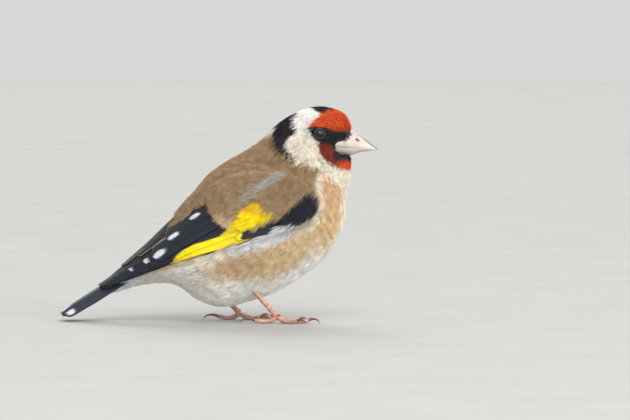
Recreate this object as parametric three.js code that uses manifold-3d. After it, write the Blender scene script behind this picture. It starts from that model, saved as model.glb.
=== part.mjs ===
// A European goldfinch at life size, standing on the floor with its wings folded and its plumage
// fluffed out. Millimetres: +X is ahead of the bird, +Y is its left and +Z is up from the floor.
// Head, neck and torso are one rounded body parted by thin cuts. The bill, eyes, folded wings,
// tail, shanks, toes and claws are pieces of their own, each set against what carries it. Each wing
// is a pad on the flank with its feathers in tiers, and the tail is a stack of feathers.

import * as THREE from "three";
import { mergeVertices } from "three/addons/utils/BufferGeometryUtils.js";
import Module from "manifold-3d";

const wasm = await Module();
wasm.setup();

// Clearances and the mesh's fineness
const GAP = 0.3; // between neighbouring pieces
const BODY_SECTORS = 24;
const BODY_RINGS = 34;
const RIGHT = -1; // the side of the body, as the sign of Y
const LEFT = 1;

// The body in side view. Each station joins a point of the back line to a point of the breast
// line, and gives the half breadth near the back, in the middle and near the breast:
// [back x, back z, breast x, breast z, half breadths].
const BODY = [
  [46.1, 61.9, 46.1, 61.7, 0.1, 0.1, 0.1], // between the mandibles
  [46.1, 66.9, 45.9, 57.1, 3.4, 3.0, 2.8], // bill base
  [44.9, 70.4, 46.0, 55.5, 6.0, 4.6, 4.4], // forehead and chin
  [42.4, 73.0, 46.1, 53.3, 8.8, 6.2, 6.0],
  [38.6, 74.4, 46.1, 50.5, 10.8, 8.0, 7.4],
  [34.2, 74.8, 45.9, 47.3, 12.2, 9.6, 8.6], // crown and throat
  [29.3, 73.7, 45.0, 44.2, 12.8, 10.8, 9.8],
  [24.5, 71.5, 44.3, 40.4, 12.8, 12.2, 11.4], // nape
  [19.8, 68.0, 44.0, 35.9, 13.0, 14.2, 13.4],
  [15.2, 63.1, 41.6, 29.3, 14.4, 16.2, 15.0], // neck and upper breast
  [9.7, 59.2, 36.6, 21.9, 16.6, 17.4, 17.2],
  [2.8, 55.2, 29.3, 16.0, 17.8, 18.6, 18.4], // mantle and breast
  [-3.8, 50.4, 20.7, 10.7, 18.0, 19.0, 18.8],
  [-9.0, 43.8, 11.0, 7.2, 16.8, 18.2, 18.0], // back and belly
  [-13.5, 37.6, 1.4, 5.2, 16.0, 17.6, 16.4],
  [-18.3, 31.7, -6.6, 7.4, 13.0, 14.2, 13.0], // rump
  [-23.5, 25.5, -14.1, 12.6, 10.0, 10.4, 9.0],
  [-28.3, 20.7, -21.7, 13.3, 7.4, 7.6, 6.4],
  [-33.1, 16.2, -29.0, 12.1, 5.6, 5.6, 4.6], // under-tail coverts
  [-37.6, 12.4, -35.5, 10.0, 4.0, 3.8, 3.2],
  [-40.4, 9.9, -40.4, 9.7, 0.1, 0.1, 0.1],
];

// The folded wings lie on the same stations as far as the rump, and behind it on these, which
// pass over the tail.
const FOLD_FROM = 15;
const FOLD_REAR = [
  [-18.3, 32.8, -6.6, 7.4, 13.6, 14.6, 13.4],
  [-23.5, 27.6, -14.1, 12.8, 11.2, 11.6, 10.4],
  [-28.3, 23.3, -21.7, 13.5, 9.4, 9.8, 8.6],
  [-33.1, 19.1, -29.0, 12.1, 8.2, 8.4, 7.4],
  [-37.6, 15.2, -35.2, 9.3, 7.2, 7.2, 6.4],
  [-41.8, 12.1, -41.1, 7.2, 6.2, 6.2, 5.6],
];

// Cuts that part the head from the neck and the neck from the torso, between body stations.
const HEAD_CUT = 7.3;
const NECK_CUT = 9.4;
const CUT_REACH = 60; // larger than the body, so that each cut goes right through
const LEAST_VOLUME = 100; // what is smaller than this is a scrap of a cut, in cubic millimetres

// Bill: [x, culmen z, lower edge z, half width] from inside the face to the tip.
const BILL = [
  [40.9, 67.2, 57.7, 3.9],
  [45.9, 66.2, 57.8, 3.6],
  [48.3, 65.0, 58.4, 2.95],
  [50.7, 63.2, 58.9, 2.2],
  [53.1, 61.3, 59.2, 1.3],
  [55.4, 59.6, 59.5, 0.12],
];
const MOUTH_FROM = [38.0, 60.7]; // the line of the mouth in side view, from the gape
const MOUTH_TO = [56.5, 59.4]; // to just under the tip
const MOUTH_SPARE = 8; // by which the cut along the mouth runs past both ends
const NOSTRIL = { x: 48.0, y: 2.57, z: 63.4, long: 1.15, high: 0.55, deep: 0.6, slope: 30 };

// Beside the bill the face narrows by this share, less and less over the radius, so that the horn
// shows as far back as the corner of the mouth.
const GAPE = { x: 42.0, z: 60.2, radius: 5.0, share: 0.52 };

// Eyes
const EYE = { x: 35.3, z: 65.4, radius: 2.2, sunk: 1.1 };
const LID = { radius: 2.3, tube: 0.45 };

// Tail: six pairs of feathers, the middle pair on top and the outer ones longest
const TAIL_PAIRS = 6;
const TAIL = {
  rootX: -27.0,
  rootZ: 20.9,
  droop: THREE.MathUtils.degToRad(28),
  middleLength: 30.6,
  outerLength: 33.9,
  rootStep: 0.45, // sideways from each feather to the next, at the root and at the tip
  tipStep: 0.8,
  innermost: 1.45,
  halfWidth: 2.7,
  middleSlit: 0.15, // half the slit between the two sides
  layer: 0.8,
  arch: 0.008,
  thickness: 0.5,
  cells: 5,
  tipFrom: 0.92, // share of a feather's length at which it rounds off
  tipSlant: 0.5, // by which its outer edge is shorter
  blockFrom: 8.5, // where the feathers join under the coverts
  blockTo: 13.5,
  blockTop: 3.88, // half widths of the block that joins them
  blockFoot: 5.48,
  roomSpare: 1, // clear length behind the tips
};

// Feathers of a folded wing, in side view. Each tier runs from its upper feather to its lowest:
// the line of its roots, the line of its tips, and its half widths. The lift is from the flank to
// the upper edge of a feather, and its lower edge stands out by the tilt more, over the next one.
const VANE = 0.5; // thickness
const ROOT_LIFT = 1.0; // depth of the roots in the pad
const ROOT_RISE = 3.5; // length over which a feather comes out of the pad
const TIERS = [
  {
    // secondaries and primaries
    count: 8,
    roots: [[8.0, 39.4], [9.5, 35.6], [10.5, 32.0], [11.0, 29.2]],
    tips: [[-19.5, 26.6], [-24.0, 21.6], [-31.5, 18.0], [-41.3, 12.2]],
    halfWidths: [1.3, 1.2, 1.15, 1.2],
    lift: 0.35,
    tilt: 1.45,
    cells: 6,
  },
  {
    // tertials
    count: 3,
    roots: [[8.5, 46.0], [8.8, 43.0], [9.0, 40.0]],
    tips: [[-9.7, 36.2], [-17.3, 28.9], [-22.8, 22.9]],
    halfWidths: [2.6, 2.7, 2.3],
    lift: 2.5,
    tilt: 1.1,
    cells: 5,
  },
  {
    // primary coverts
    count: 2,
    roots: [[19.0, 31.9], [18.0, 30.3]],
    tips: [[3.6, 30.1], [1.6, 28.5]],
    halfWidths: [1.3, 1.2],
    lift: 1.9,
    tilt: 1.0,
    cells: 4,
  },
  {
    // greater coverts
    count: 6,
    roots: [[13.0, 46.2], [16.4, 42.6], [18.6, 38.6], [19.6, 34.4]],
    tips: [[0.4, 42.0], [0.6, 37.8], [2.2, 34.4], [5.6, 31.6]],
    halfWidths: [1.7, 1.7, 1.6, 1.4],
    lift: 1.9,
    tilt: 1.1,
    cells: 4,
  },
  {
    // median coverts
    count: 5,
    roots: [[24.0, 47.0], [27.4, 42.8], [29.0, 37.0]],
    tips: [[11.8, 45.4], [15.6, 40.2], [18.0, 34.2]],
    halfWidths: [1.9, 1.9, 1.7],
    lift: 2.0,
    tilt: 1.0,
    cells: 4,
  },
];
// The pad that carries them, under the coverts: its upper and lower edges from the bend of the
// wing rearward, its greatest thickness, and how soon and from what share it swells to that.
const PAD = {
  top: [[35.2, 43.5], [30.5, 47.6], [21.0, 49.2], [11.0, 48.4], [1.5, 45.4]],
  low: [[35.0, 37.8], [30.5, 33.2], [22.0, 30.2], [14.0, 28.4], [4.5, 26.9]],
  thickness: 2.1,
  frontShare: 0.25,
  swellOver: 0.25,
};

// Legs: the heel is inside the belly plumage, the foot joint stands just above the floor
const SHANK = { across: 0.85, along: 1.05, kneeRadius: 1.15 };
const LEGS = {
  right: { side: RIGHT, heel: [11.0, 9.4, 13.5], foot: [20.8, 8.6, 2.2] },
  left: { side: LEFT, heel: [-3.1, 9.4, 12.4], foot: [6.9, 8.6, 2.2] },
};

// Toes: heading from straight ahead (outwards positive), length to the claw, thickness, claw length
const TOES = [
  { name: "hind", heading: 172, length: 8.0, radius: 0.85, claw: 6.2 },
  { name: "middle", heading: 4, length: 11.6, radius: 0.85, claw: 4.6 },
  { name: "inner", heading: -24, length: 8.6, radius: 0.78, claw: 4.0 },
  { name: "outer", heading: 32, length: 9.2, radius: 0.78, claw: 4.0 },
];
const TOE_REST = 0.72; // height of a toe's axis, so that its pads press flat on the floor
const TOE_PADS = { count: 3, swell: 0.13 };
const CLAW_ROOT = 0.97; // share of the toe's path where its claw starts
const CLAW_ROOT_RADIUS = 0.52;
const CLAW_TIP_RADIUS = 0.16;

const POLE = 1e-6; // share of a tube's length that counts as its end
const deg = THREE.MathUtils.degToRad;
const lerp = THREE.MathUtils.lerp;

// A smooth curve through one or more columns of a table, its t running from 0 to rows - 1.
function columns(table, ...picked) {
  const points = table.map((row) => new THREE.Vector3(...picked.map((c) => (c < 0 ? 0 : row[c]))));
  const curve = new THREE.CatmullRomCurve3(points, false, "catmullrom", 0.5);
  return (t) => curve.getPoint(THREE.MathUtils.clamp(t / (table.length - 1), 0, 1));
}

// The share of its breadth that the body keeps at x, z of the side view.
function besideBill(x, z) {
  const away = Math.hypot(x - GAPE.x, z - GAPE.z) / GAPE.radius;
  return 1 - GAPE.share * Math.exp(-away * away);
}

// The surface that a table of stations describes.
function shapeOf(stations) {
  const backLine = columns(stations, 0, -1, 1);
  const breastLine = columns(stations, 2, -1, 3);
  const breadths = columns(stations, 4, 5, 6);
  const last = stations.length - 1;

  // t counts stations, and angle goes from the back line (0) down the side to the breast line (PI).
  function point(t, angle, side) {
    const back = backLine(t);
    const breast = breastLine(t);
    const { x: high, y: middle, z: low } = breadths(t);
    const q = Math.cos(angle);
    const breadth = middle + ((high - low) / 2) * q + ((high + low) / 2 - middle) * q * q;
    const p = back.clone().add(breast).multiplyScalar(0.5);
    p.addScaledVector(back.sub(breast), q / 2);
    p.y = side * breadth * Math.sin(angle) * besideBill(p.x, p.z);
    return p;
  }

  function normal(t, angle, side) {
    const step = 0.02;
    const down = point(t, angle + step, side).sub(point(t, angle - step, side));
    const rearward = point(Math.min(t + step, last), angle, side);
    rearward.sub(point(Math.max(t - step, 0), angle, side));
    return down.cross(rearward).multiplyScalar(side).normalize();
  }

  // The station and angle that side view shows at x, z.
  function find(x, z) {
    let front = 0;
    let rear = last;
    for (let i = 0; i < 40; i++) {
      const t = (front + rear) / 2;
      const back = backLine(t);
      const breast = breastLine(t);
      const behind = (breast.x - back.x) * (z - back.z) - (breast.z - back.z) * (x - back.x) < 0;
      if (behind) front = t;
      else rear = t;
    }
    const back = backLine(front);
    const breast = breastLine(front);
    const half = back.clone().sub(breast).multiplyScalar(0.5);
    const centre = back.add(breast).multiplyScalar(0.5);
    const q = ((x - centre.x) * half.x + (z - centre.z) * half.z) / half.lengthSq();
    return { t: front, angle: Math.acos(THREE.MathUtils.clamp(q, -1, 1)) };
  }

  return { point, normal, find, last };
}

const body = shapeOf(BODY);
const fold = shapeOf([...BODY.slice(0, FOLD_FROM), ...FOLD_REAR]);

// A geometry as a solid, with its shared vertices merged.
function solid(geometry) {
  const bare = geometry.clone();
  bare.deleteAttribute("normal");
  bare.deleteAttribute("uv");
  const merged = mergeVertices(bare, 1e-4);
  return new wasm.Manifold(
    new wasm.Mesh({
      numProp: 3,
      vertProperties: new Float32Array(merged.attributes.position.array),
      triVerts: new Uint32Array(merged.index.array),
    }),
  );
}

// A solid as a geometry: only its largest closed surface is kept.
function geometryOf(made) {
  const [largest] = made.decompose().sort((a, b) => b.volume() - a.volume());
  const mesh = largest.getMesh();
  const geometry = new THREE.BufferGeometry();
  geometry.setAttribute("position", new THREE.BufferAttribute(mesh.vertProperties, 3));
  geometry.setIndex(new THREE.BufferAttribute(mesh.triVerts, 1));
  return geometry;
}

const join = (pieces) => wasm.Manifold.union(pieces);

// A closed tube of rings with a pole at each end: place(along, turn) gives each vertex, with both
// numbers from 0 to 1.
function tube(sectors, rings, place) {
  const geometry = new THREE.SphereGeometry(1, sectors, rings);
  const position = geometry.getAttribute("position");
  const uv = geometry.getAttribute("uv");
  for (let i = 0; i < position.count; i++) {
    const ring = 1 - uv.getY(i);
    const onPole = ring < POLE || ring > 1 - POLE;
    const turn = onPole ? 0 : 1 - (i % (sectors + 1)) / sectors;
    const p = place(ring, turn % 1);
    position.setXYZ(i, p.x, p.y, p.z);
  }
  return solid(geometry);
}

// A thin closed blade: place(across, along, face) gives each vertex, across from -1 to 1, along
// from 0 to 1 and face 0 underneath or 1 on top. Both faces are split into triangles alike.
function blade(cellsAcross, cellsAlong, place) {
  const grid = new THREE.PlaneGeometry(1, 1, cellsAcross, cellsAlong);
  const uv = grid.getAttribute("uv");
  const cells = grid.getIndex().array;
  const count = uv.count;
  const points = [];
  for (const face of [1, 0])
    for (let i = 0; i < count; i++) points.push(place(uv.getX(i) * 2 - 1, uv.getY(i), face));
  const index = [...cells];
  for (let i = 0; i < cells.length; i += 3)
    index.push(cells[i] + count, cells[i + 2] + count, cells[i + 1] + count);
  const row = cellsAcross + 1;
  const rim = [];
  for (let i = 0; i < cellsAcross; i++) rim.push(i);
  for (let j = 0; j < cellsAlong; j++) rim.push(cellsAcross + j * row);
  for (let i = cellsAcross; i > 0; i--) rim.push(cellsAlong * row + i);
  for (let j = cellsAlong; j > 0; j--) rim.push(j * row);
  rim.forEach((a, i) => {
    const b = rim[(i + 1) % rim.length];
    index.push(a, b, a + count, b, b + count, a + count);
  });
  const geometry = new THREE.BufferGeometry().setFromPoints(points).setIndex(index);
  return solid(geometry);
}

// The whole body from bill base to tail, grown outwards by the given clearance.
function bodySolid(grow = 0) {
  return tube(BODY_SECTORS, BODY_RINGS, (along, turn) => {
    const t = along * body.last;
    const angle = turn * 2 * Math.PI;
    const side = angle <= Math.PI ? LEFT : RIGHT;
    const fromBack = angle <= Math.PI ? angle : 2 * Math.PI - angle;
    const p = body.point(t, fromBack, side);
    if (!grow) return p;
    if (along < POLE) return p.add(new THREE.Vector3(grow, 0, 0));
    if (along > 1 - POLE) return p.add(new THREE.Vector3(-grow, 0, -grow / 2));
    return p.addScaledVector(body.normal(t, fromBack, side), grow);
  });
}

// A thin slab across the body at a station, as wide as the gap.
function cutAt(t) {
  const back = body.point(t, 0, LEFT);
  const breast = body.point(t, Math.PI, LEFT);
  const middle = back.clone().add(breast).multiplyScalar(0.5);
  const lean = Math.atan2(back.x - breast.x, back.z - breast.z);
  const slab = new THREE.BoxGeometry(GAP, CUT_REACH, CUT_REACH);
  slab.rotateY(lean).translate(middle.x, middle.y, middle.z);
  return solid(slab);
}

function eyeCentre(side) {
  const { t, angle } = body.find(EYE.x, EYE.z);
  const outward = body.normal(t, angle, side);
  return { centre: body.point(t, angle, side).addScaledVector(outward, -EYE.sunk), outward };
}

function eyeBall(side, grow = 0) {
  const { centre } = eyeCentre(side);
  return solid(new THREE.SphereGeometry(EYE.radius + grow, 16, 10).translate(centre.x, centre.y, centre.z));
}

// The rim of the lids, a low ring round the eye.
function lids(side) {
  const { centre, outward } = eyeCentre(side);
  const ring = new THREE.TorusGeometry(LID.radius, LID.tube, 6, 16);
  ring.applyQuaternion(new THREE.Quaternion().setFromUnitVectors(new THREE.Vector3(0, 0, 1), outward));
  centre.addScaledVector(outward, EYE.sunk - LID.tube / 4);
  return solid(ring.translate(centre.x, centre.y, centre.z));
}

// Head, neck and torso, from front to back.
function bodyParts() {
  let whole = join([bodySolid(), lids(RIGHT), lids(LEFT)]);
  for (const side of [RIGHT, LEFT]) whole = whole.subtract(eyeBall(side, GAP));
  for (const t of [HEAD_CUT, NECK_CUT]) whole = whole.subtract(cutAt(t));
  const frontOf = (part) => -part.boundingBox().max[0];
  const parts = whole.decompose().filter((part) => part.volume() > LEAST_VOLUME);
  return parts.sort((a, b) => frontOf(a) - frontOf(b) || b.boundingBox().max[2] - a.boundingBox().max[2]);
}

// Upper and lower mandible: one cone parted along the line of the mouth.
function billParts(face) {
  const line = columns(BILL, 0, 1, 2);
  const width = columns(BILL, 3, -1, -1);
  let cone = tube(16, 12, (along, turn) => {
    const t = along * (BILL.length - 1);
    const { x, y: top, z: bottom } = line(t);
    const round = along < POLE || along > 1 - POLE ? 0 : 1;
    const angle = turn * 2 * Math.PI;
    const z = (top + bottom) / 2 + ((round * (top - bottom)) / 2) * Math.cos(angle);
    return new THREE.Vector3(x, -round * width(t).x * Math.sin(angle), z);
  });
  for (const side of [RIGHT, LEFT]) {
    const pit = new THREE.SphereGeometry(1, 10, 6);
    pit.scale(NOSTRIL.long, NOSTRIL.deep, NOSTRIL.high).rotateY(deg(NOSTRIL.slope));
    cone = cone.subtract(solid(pit.translate(NOSTRIL.x, side * NOSTRIL.y, NOSTRIL.z)));
  }
  const [fromX, fromZ] = MOUTH_FROM;
  const [toX, toZ] = MOUTH_TO;
  const length = Math.hypot(toX - fromX, toZ - fromZ) + MOUTH_SPARE;
  const slit = new THREE.BoxGeometry(length, CUT_REACH, GAP);
  slit.rotateY(Math.atan2(fromZ - toZ, toX - fromX)).translate((fromX + toX) / 2, 0, (fromZ + toZ) / 2);
  const parts = cone.subtract(face).subtract(solid(slit)).decompose();
  const ahead = parts.filter((part) => part.boundingBox().max[0] > BILL[2][0]);
  return ahead.sort((a, b) => b.boundingBox().max[2] - a.boundingBox().max[2]).slice(0, 2);
}

// The height above the flank that side view shows at x, z.
function onFlank(side, x, z, lift) {
  const { t, angle } = fold.find(x, z);
  return fold.point(t, angle, side).addScaledVector(fold.normal(t, angle, side), lift);
}

// A value between those of a short list, share running from 0 to 1.
function along(list, share) {
  const at = share * (list.length - 1);
  const i = Math.min(Math.floor(at), list.length - 2);
  return lerp(list[i], list[i + 1], at - i);
}

const VANE_OUTLINE = [0.75, 0.92, 1.0, 0.97, 0.86]; // half widths from the root
const VANE_POINT = 0.12; // and at the tip
const TIP_LENGTH = 2.2; // over which a feather of the wing comes to its point
function wingVane(side, root, tip, halfWidth, { lift, tilt, cells }) {
  const rearward = tip.clone().sub(root);
  const length = rearward.length();
  const down = new THREE.Vector2(rearward.y, -rearward.x).normalize();
  if (down.y > 0) down.negate();
  return blade(1, cells, (across, step, face) => {
    const lower = across * side; // -1 at the upper edge and 1 at the lower one
    const past = Math.round(step * cells) - 1;
    const straight = lerp(ROOT_RISE, length - TIP_LENGTH, past / (cells - 2)) / length;
    const share = past < 0 ? 0 : Math.min(1, straight);
    const p = root.clone().addScaledVector(rearward, share);
    const outline = share === 1 ? VANE_POINT : along(VANE_OUTLINE, share);
    p.addScaledVector(down, lower * halfWidth * outline);
    const over = past < 0 ? ROOT_LIFT : lift + (tilt * (lower + 1)) / 2;
    return onFlank(side, p.x, p.y, over + face * VANE);
  });
}

function wingPad(side) {
  const top = columns(PAD.top, 0, -1, 1);
  const low = columns(PAD.low, 0, -1, 1);
  const last = PAD.top.length - 1;
  return blade(4, 7, (across, share, face) => {
    const p = top(share * last).lerp(low(share * last), (1 + across * side) / 2);
    const crown = (1 - across ** 6) * Math.min(1, PAD.frontShare + share / PAD.swellOver);
    return onFlank(side, p.x, p.z, GAP + face * (VANE + (PAD.thickness - VANE) * crown));
  });
}

function wing(side, keepClear) {
  const pieces = [wingPad(side)];
  for (const tier of TIERS) {
    const { count, roots, tips, halfWidths } = tier;
    const rootLine = new THREE.SplineCurve(roots.map(([x, z]) => new THREE.Vector2(x, z)));
    const tipLine = new THREE.SplineCurve(tips.map(([x, z]) => new THREE.Vector2(x, z)));
    for (let i = 0; i < count; i++) {
      const share = i / (count - 1);
      const width = along(halfWidths, share);
      pieces.push(wingVane(side, rootLine.getPoint(share), tipLine.getPoint(share), width, tier));
    }
  }
  return keepClear.reduce((made, other) => made.subtract(other), join(pieces));
}

// Tail frame: s runs rearward along the tail, y sideways and h up from its plane.
function tailPoint(s, y, h) {
  const up = h - TAIL.arch * y * y;
  const x = TAIL.rootX - s * Math.cos(TAIL.droop) - up * Math.sin(TAIL.droop);
  const z = TAIL.rootZ - s * Math.sin(TAIL.droop) + up * Math.cos(TAIL.droop);
  return new THREE.Vector3(x, y, z);
}

const TAIL_OUTLINE = [0.6, 0.8, 0.95, 1.0, 0.97, 0.25];
function tailVane(side, pair, grow) {
  const length = lerp(TAIL.middleLength, TAIL.outerLength, pair / (TAIL_PAIRS - 1)) + grow;
  return blade(1, TAIL.cells, (across, step, face) => {
    const beforeTip = (TAIL.cells - 1) / TAIL.cells;
    const share = step < 1 ? (step * TAIL.tipFrom) / beforeTip : 1;
    const centre = TAIL.innermost + pair * lerp(TAIL.rootStep, TAIL.tipStep, share);
    const reach = (TAIL.halfWidth + grow) * along(TAIL_OUTLINE, step);
    const slit = Math.max(0, TAIL.middleSlit - grow);
    const y = Math.max(slit, centre + across * side * reach) * side;
    const s = length * share - TAIL.tipSlant * Math.max(0, across * side) * share;
    const h = -pair * TAIL.layer + (face ? TAIL.thickness + grow : -grow);
    return tailPoint(s, y, h);
  });
}

function tailBlock() {
  const low = -(TAIL_PAIRS - 1) * TAIL.layer;
  return blade(8, 2, (across, share, face) => {
    const s = lerp(TAIL.blockFrom, TAIL.blockTo, share);
    const h = face ? TAIL.thickness / 2 : low + TAIL.thickness / 2;
    return tailPoint(s, across * (face ? TAIL.blockTop : TAIL.blockFoot), h);
  });
}

// All the feathers and their block, grown by the given clearance.
function tail(grow, keepClear) {
  const pieces = [tailBlock()];
  for (const side of [RIGHT, LEFT])
    for (let pair = 0; pair < TAIL_PAIRS; pair++) pieces.push(tailVane(side, pair, grow));
  return keepClear.reduce((made, other) => made.subtract(other), join(pieces));
}

// The room that the tail takes up, as one smooth form with a clearance round it. From half way
// out, its top steps down as the feathers do.
function tailRoom(grow) {
  const low = -(TAIL_PAIRS - 1) * TAIL.layer - grow;
  return blade(8, 5, (across, share, face) => {
    const steps = (TAIL_PAIRS - 1) * lerp(TAIL.rootStep, TAIL.tipStep, share);
    const widest = TAIL.innermost + TAIL.halfWidth + steps;
    const shoulder = Math.max(0, Math.abs(across) * 2 - 1) * (TAIL_PAIRS - 2) * TAIL.layer;
    const h = face ? TAIL.thickness + grow - shoulder : low;
    return tailPoint(share * (TAIL.outerLength + TAIL.roomSpare), across * (widest + grow), h);
  });
}

// A round rod along a curve, its radius given along the way.
function rod(path, radiusAt, sectors, rings) {
  const frames = path.computeFrenetFrames(rings, false);
  return tube(sectors, rings, (along, turn) => {
    const i = Math.round(along * rings);
    const p = path.getPoint(along);
    if (i === 0 || i === rings) return p;
    const angle = turn * 2 * Math.PI;
    const r = radiusAt(along);
    p.addScaledVector(frames.normals[i], r * Math.cos(angle));
    return p.addScaledVector(frames.binormals[i], r * Math.sin(angle));
  });
}

const at = (side, [x, y, z]) => new THREE.Vector3(x, side * y, z);

// The shank, with the knuckle of the foot joint at its lower end.
function shank({ side, heel, foot }, grow = 0) {
  const from = at(side, heel);
  const to = at(side, foot);
  const length = from.distanceTo(to);
  const bar = new THREE.CylinderGeometry(SHANK.across + grow, SHANK.across + grow, length, 10, 1);
  bar.scale(SHANK.along / SHANK.across, 1, 1).translate(0, -length / 2, 0);
  const downward = to.clone().sub(from).normalize();
  bar.applyQuaternion(new THREE.Quaternion().setFromUnitVectors(new THREE.Vector3(0, -1, 0), downward));
  const knuckle = new THREE.SphereGeometry(SHANK.kneeRadius + grow, 12, 8);
  return join([
    solid(bar.translate(from.x, from.y, from.z)),
    solid(knuckle.translate(to.x, to.y, to.z)),
  ]);
}

// Where a toe runs: out of the knuckle, down to the floor and along it.
function toePath({ side, foot }, { heading, length }) {
  const ahead = new THREE.Vector3(Math.cos(deg(heading)), side * Math.sin(deg(heading)), 0);
  const from = at(side, foot);
  const reach = (share, height) => from.clone().addScaledVector(ahead, share * length).setZ(height);
  const steps = [
    [0.05, 1.9],
    [0.2, 1.25],
    [0.38, TOE_REST],
    [0.7, TOE_REST],
    [1.0, TOE_REST + 0.5],
  ];
  return { ahead, curve: new THREE.CatmullRomCurve3(steps.map(([share, height]) => reach(share, height))) };
}

function toe(leg, form, grow = 0) {
  const { curve } = toePath(leg, form);
  const pads = (along) => 1 + TOE_PADS.swell * Math.cos(along * TOE_PADS.count * 2 * Math.PI);
  const rounding = (along) => Math.min(1, Math.sqrt(1 - along) * 3, 0.55 + along * 3);
  return rod(curve, (along) => (form.radius + grow) * pads(along) * rounding(along), 8, 10);
}

function claw(leg, form) {
  const { ahead, curve } = toePath(leg, form);
  const root = curve.getPoint(CLAW_ROOT);
  const out = (forward, height) => root.clone().addScaledVector(ahead, forward * form.claw).setZ(height);
  const hook = new THREE.CatmullRomCurve3([
    root.clone(),
    out(0.32, root.z + 0.55),
    out(0.66, root.z + 0.25),
    out(0.9, 0.12),
  ]);
  return rod(hook, (along) => lerp(CLAW_ROOT_RADIUS, CLAW_TIP_RADIUS, along ** 1.2), 6, 7);
}

const aboveFloor = (made) => made.trimByPlane([0, 0, 1], 0);

const group = new THREE.Group();
const FINISH = {
  white: [0xe6e1d6, 0.85],
  brown: [0x96795a, 0.85],
  black: [0x17181d, 0.55],
  bill: [0xe3d3c8, 0.45],
  eye: [0x120c08, 0.08],
  leg: [0xb58474, 0.6],
  claw: [0x5d4740, 0.45],
};
function add(name, made, finish) {
  const [color, roughness] = FINISH[finish];
  const material = new THREE.MeshStandardMaterial({ color, roughness, metalness: 0 });
  const mesh = new THREE.Mesh(geometryOf(made), material);
  mesh.name = name;
  group.add(mesh);
}

const [head, neck, torso] = bodyParts();
add("head", head, "white");
add("neck", neck, "brown");
add("torso", torso, "brown");

const clearOfBody = bodySolid(GAP);
const [upperMandible, lowerMandible] = billParts(clearOfBody);
add("upper_mandible", upperMandible, "bill");
add("lower_mandible", lowerMandible, "bill");
add("right_eye", eyeBall(RIGHT), "eye");
add("left_eye", eyeBall(LEFT), "eye");

add("tail", tail(0, [clearOfBody]), "black");
const betweenWings = solid(new THREE.BoxGeometry(4 * CUT_REACH, GAP, 4 * CUT_REACH));
for (const [side, name] of [
  [RIGHT, "right_wing"],
  [LEFT, "left_wing"],
])
  add(name, wing(side, [clearOfBody, tailRoom(GAP), betweenWings]), "black");

for (const [name, leg] of Object.entries(LEGS)) {
  add(`${name}_shank`, aboveFloor(shank(leg).subtract(clearOfBody)), "leg");
  const taken = [shank(leg, GAP)];
  for (const form of TOES) {
    const made = taken.reduce((rest, other) => rest.subtract(other), toe(leg, form));
    add(`${name}_toe_${form.name}`, aboveFloor(made), "leg");
    taken.push(toe(leg, form, GAP));
  }
  for (const form of TOES) {
    const free = claw(leg, form).subtract(toe(leg, form, GAP));
    add(`${name}_claw_${form.name}`, aboveFloor(free), "claw");
  }
}

export default group;
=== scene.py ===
"""A European goldfinch at life size, standing with folded wings and its plumage fluffed out.

The skin, coat, flight feathers, bill, eyes and feet are made here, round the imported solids. The
sizes below are millimetres in the frame's own axes: +X ahead of the bird, +Y its left, +Z up.
"""

import functools
import math

import bmesh
import bpy
import numpy as np
from mathutils import Matrix, Vector


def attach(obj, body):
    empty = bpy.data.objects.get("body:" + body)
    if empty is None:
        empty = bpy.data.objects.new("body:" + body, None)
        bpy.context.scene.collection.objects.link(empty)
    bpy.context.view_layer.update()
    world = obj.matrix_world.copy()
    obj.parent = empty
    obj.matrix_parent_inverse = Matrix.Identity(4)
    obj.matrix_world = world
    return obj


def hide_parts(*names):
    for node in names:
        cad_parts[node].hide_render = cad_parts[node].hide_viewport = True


MM = 0.001
LEFT, RIGHT = 1, -1
SIDES = {"left": LEFT, "right": RIGHT}

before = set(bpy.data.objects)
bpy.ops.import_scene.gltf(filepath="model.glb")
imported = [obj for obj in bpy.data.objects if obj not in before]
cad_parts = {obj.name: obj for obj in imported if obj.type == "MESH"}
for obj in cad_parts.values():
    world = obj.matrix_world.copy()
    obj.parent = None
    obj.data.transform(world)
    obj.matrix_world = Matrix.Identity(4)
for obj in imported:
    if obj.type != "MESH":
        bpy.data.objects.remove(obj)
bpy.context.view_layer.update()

# The camera, and how the photo's pixels lie on the bird's middle plane
PHOTO = (630, 420)
MM_PER_PIXEL = 0.345
ORIGIN_PIXEL = (218, 322)  # where x and z are 0
CENTRE_PIXEL = (315, 210)
CAMERA_DISTANCE = 2.2  # metres
CAMERA_TURN = math.radians(3)
CAMERA_RISE = math.radians(3)
SENSOR_WIDTH = 36
# How far points of the near side look shifted back and down, for each millimetre of their y
LEAN = math.sin(CAMERA_TURN)


def from_photo(pixels):
    """Points of the side view in millimetres, x and z, from pixels of the photo."""
    return (np.array(pixels, float) - ORIGIN_PIXEL) * (MM_PER_PIXEL, -MM_PER_PIXEL)


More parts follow.
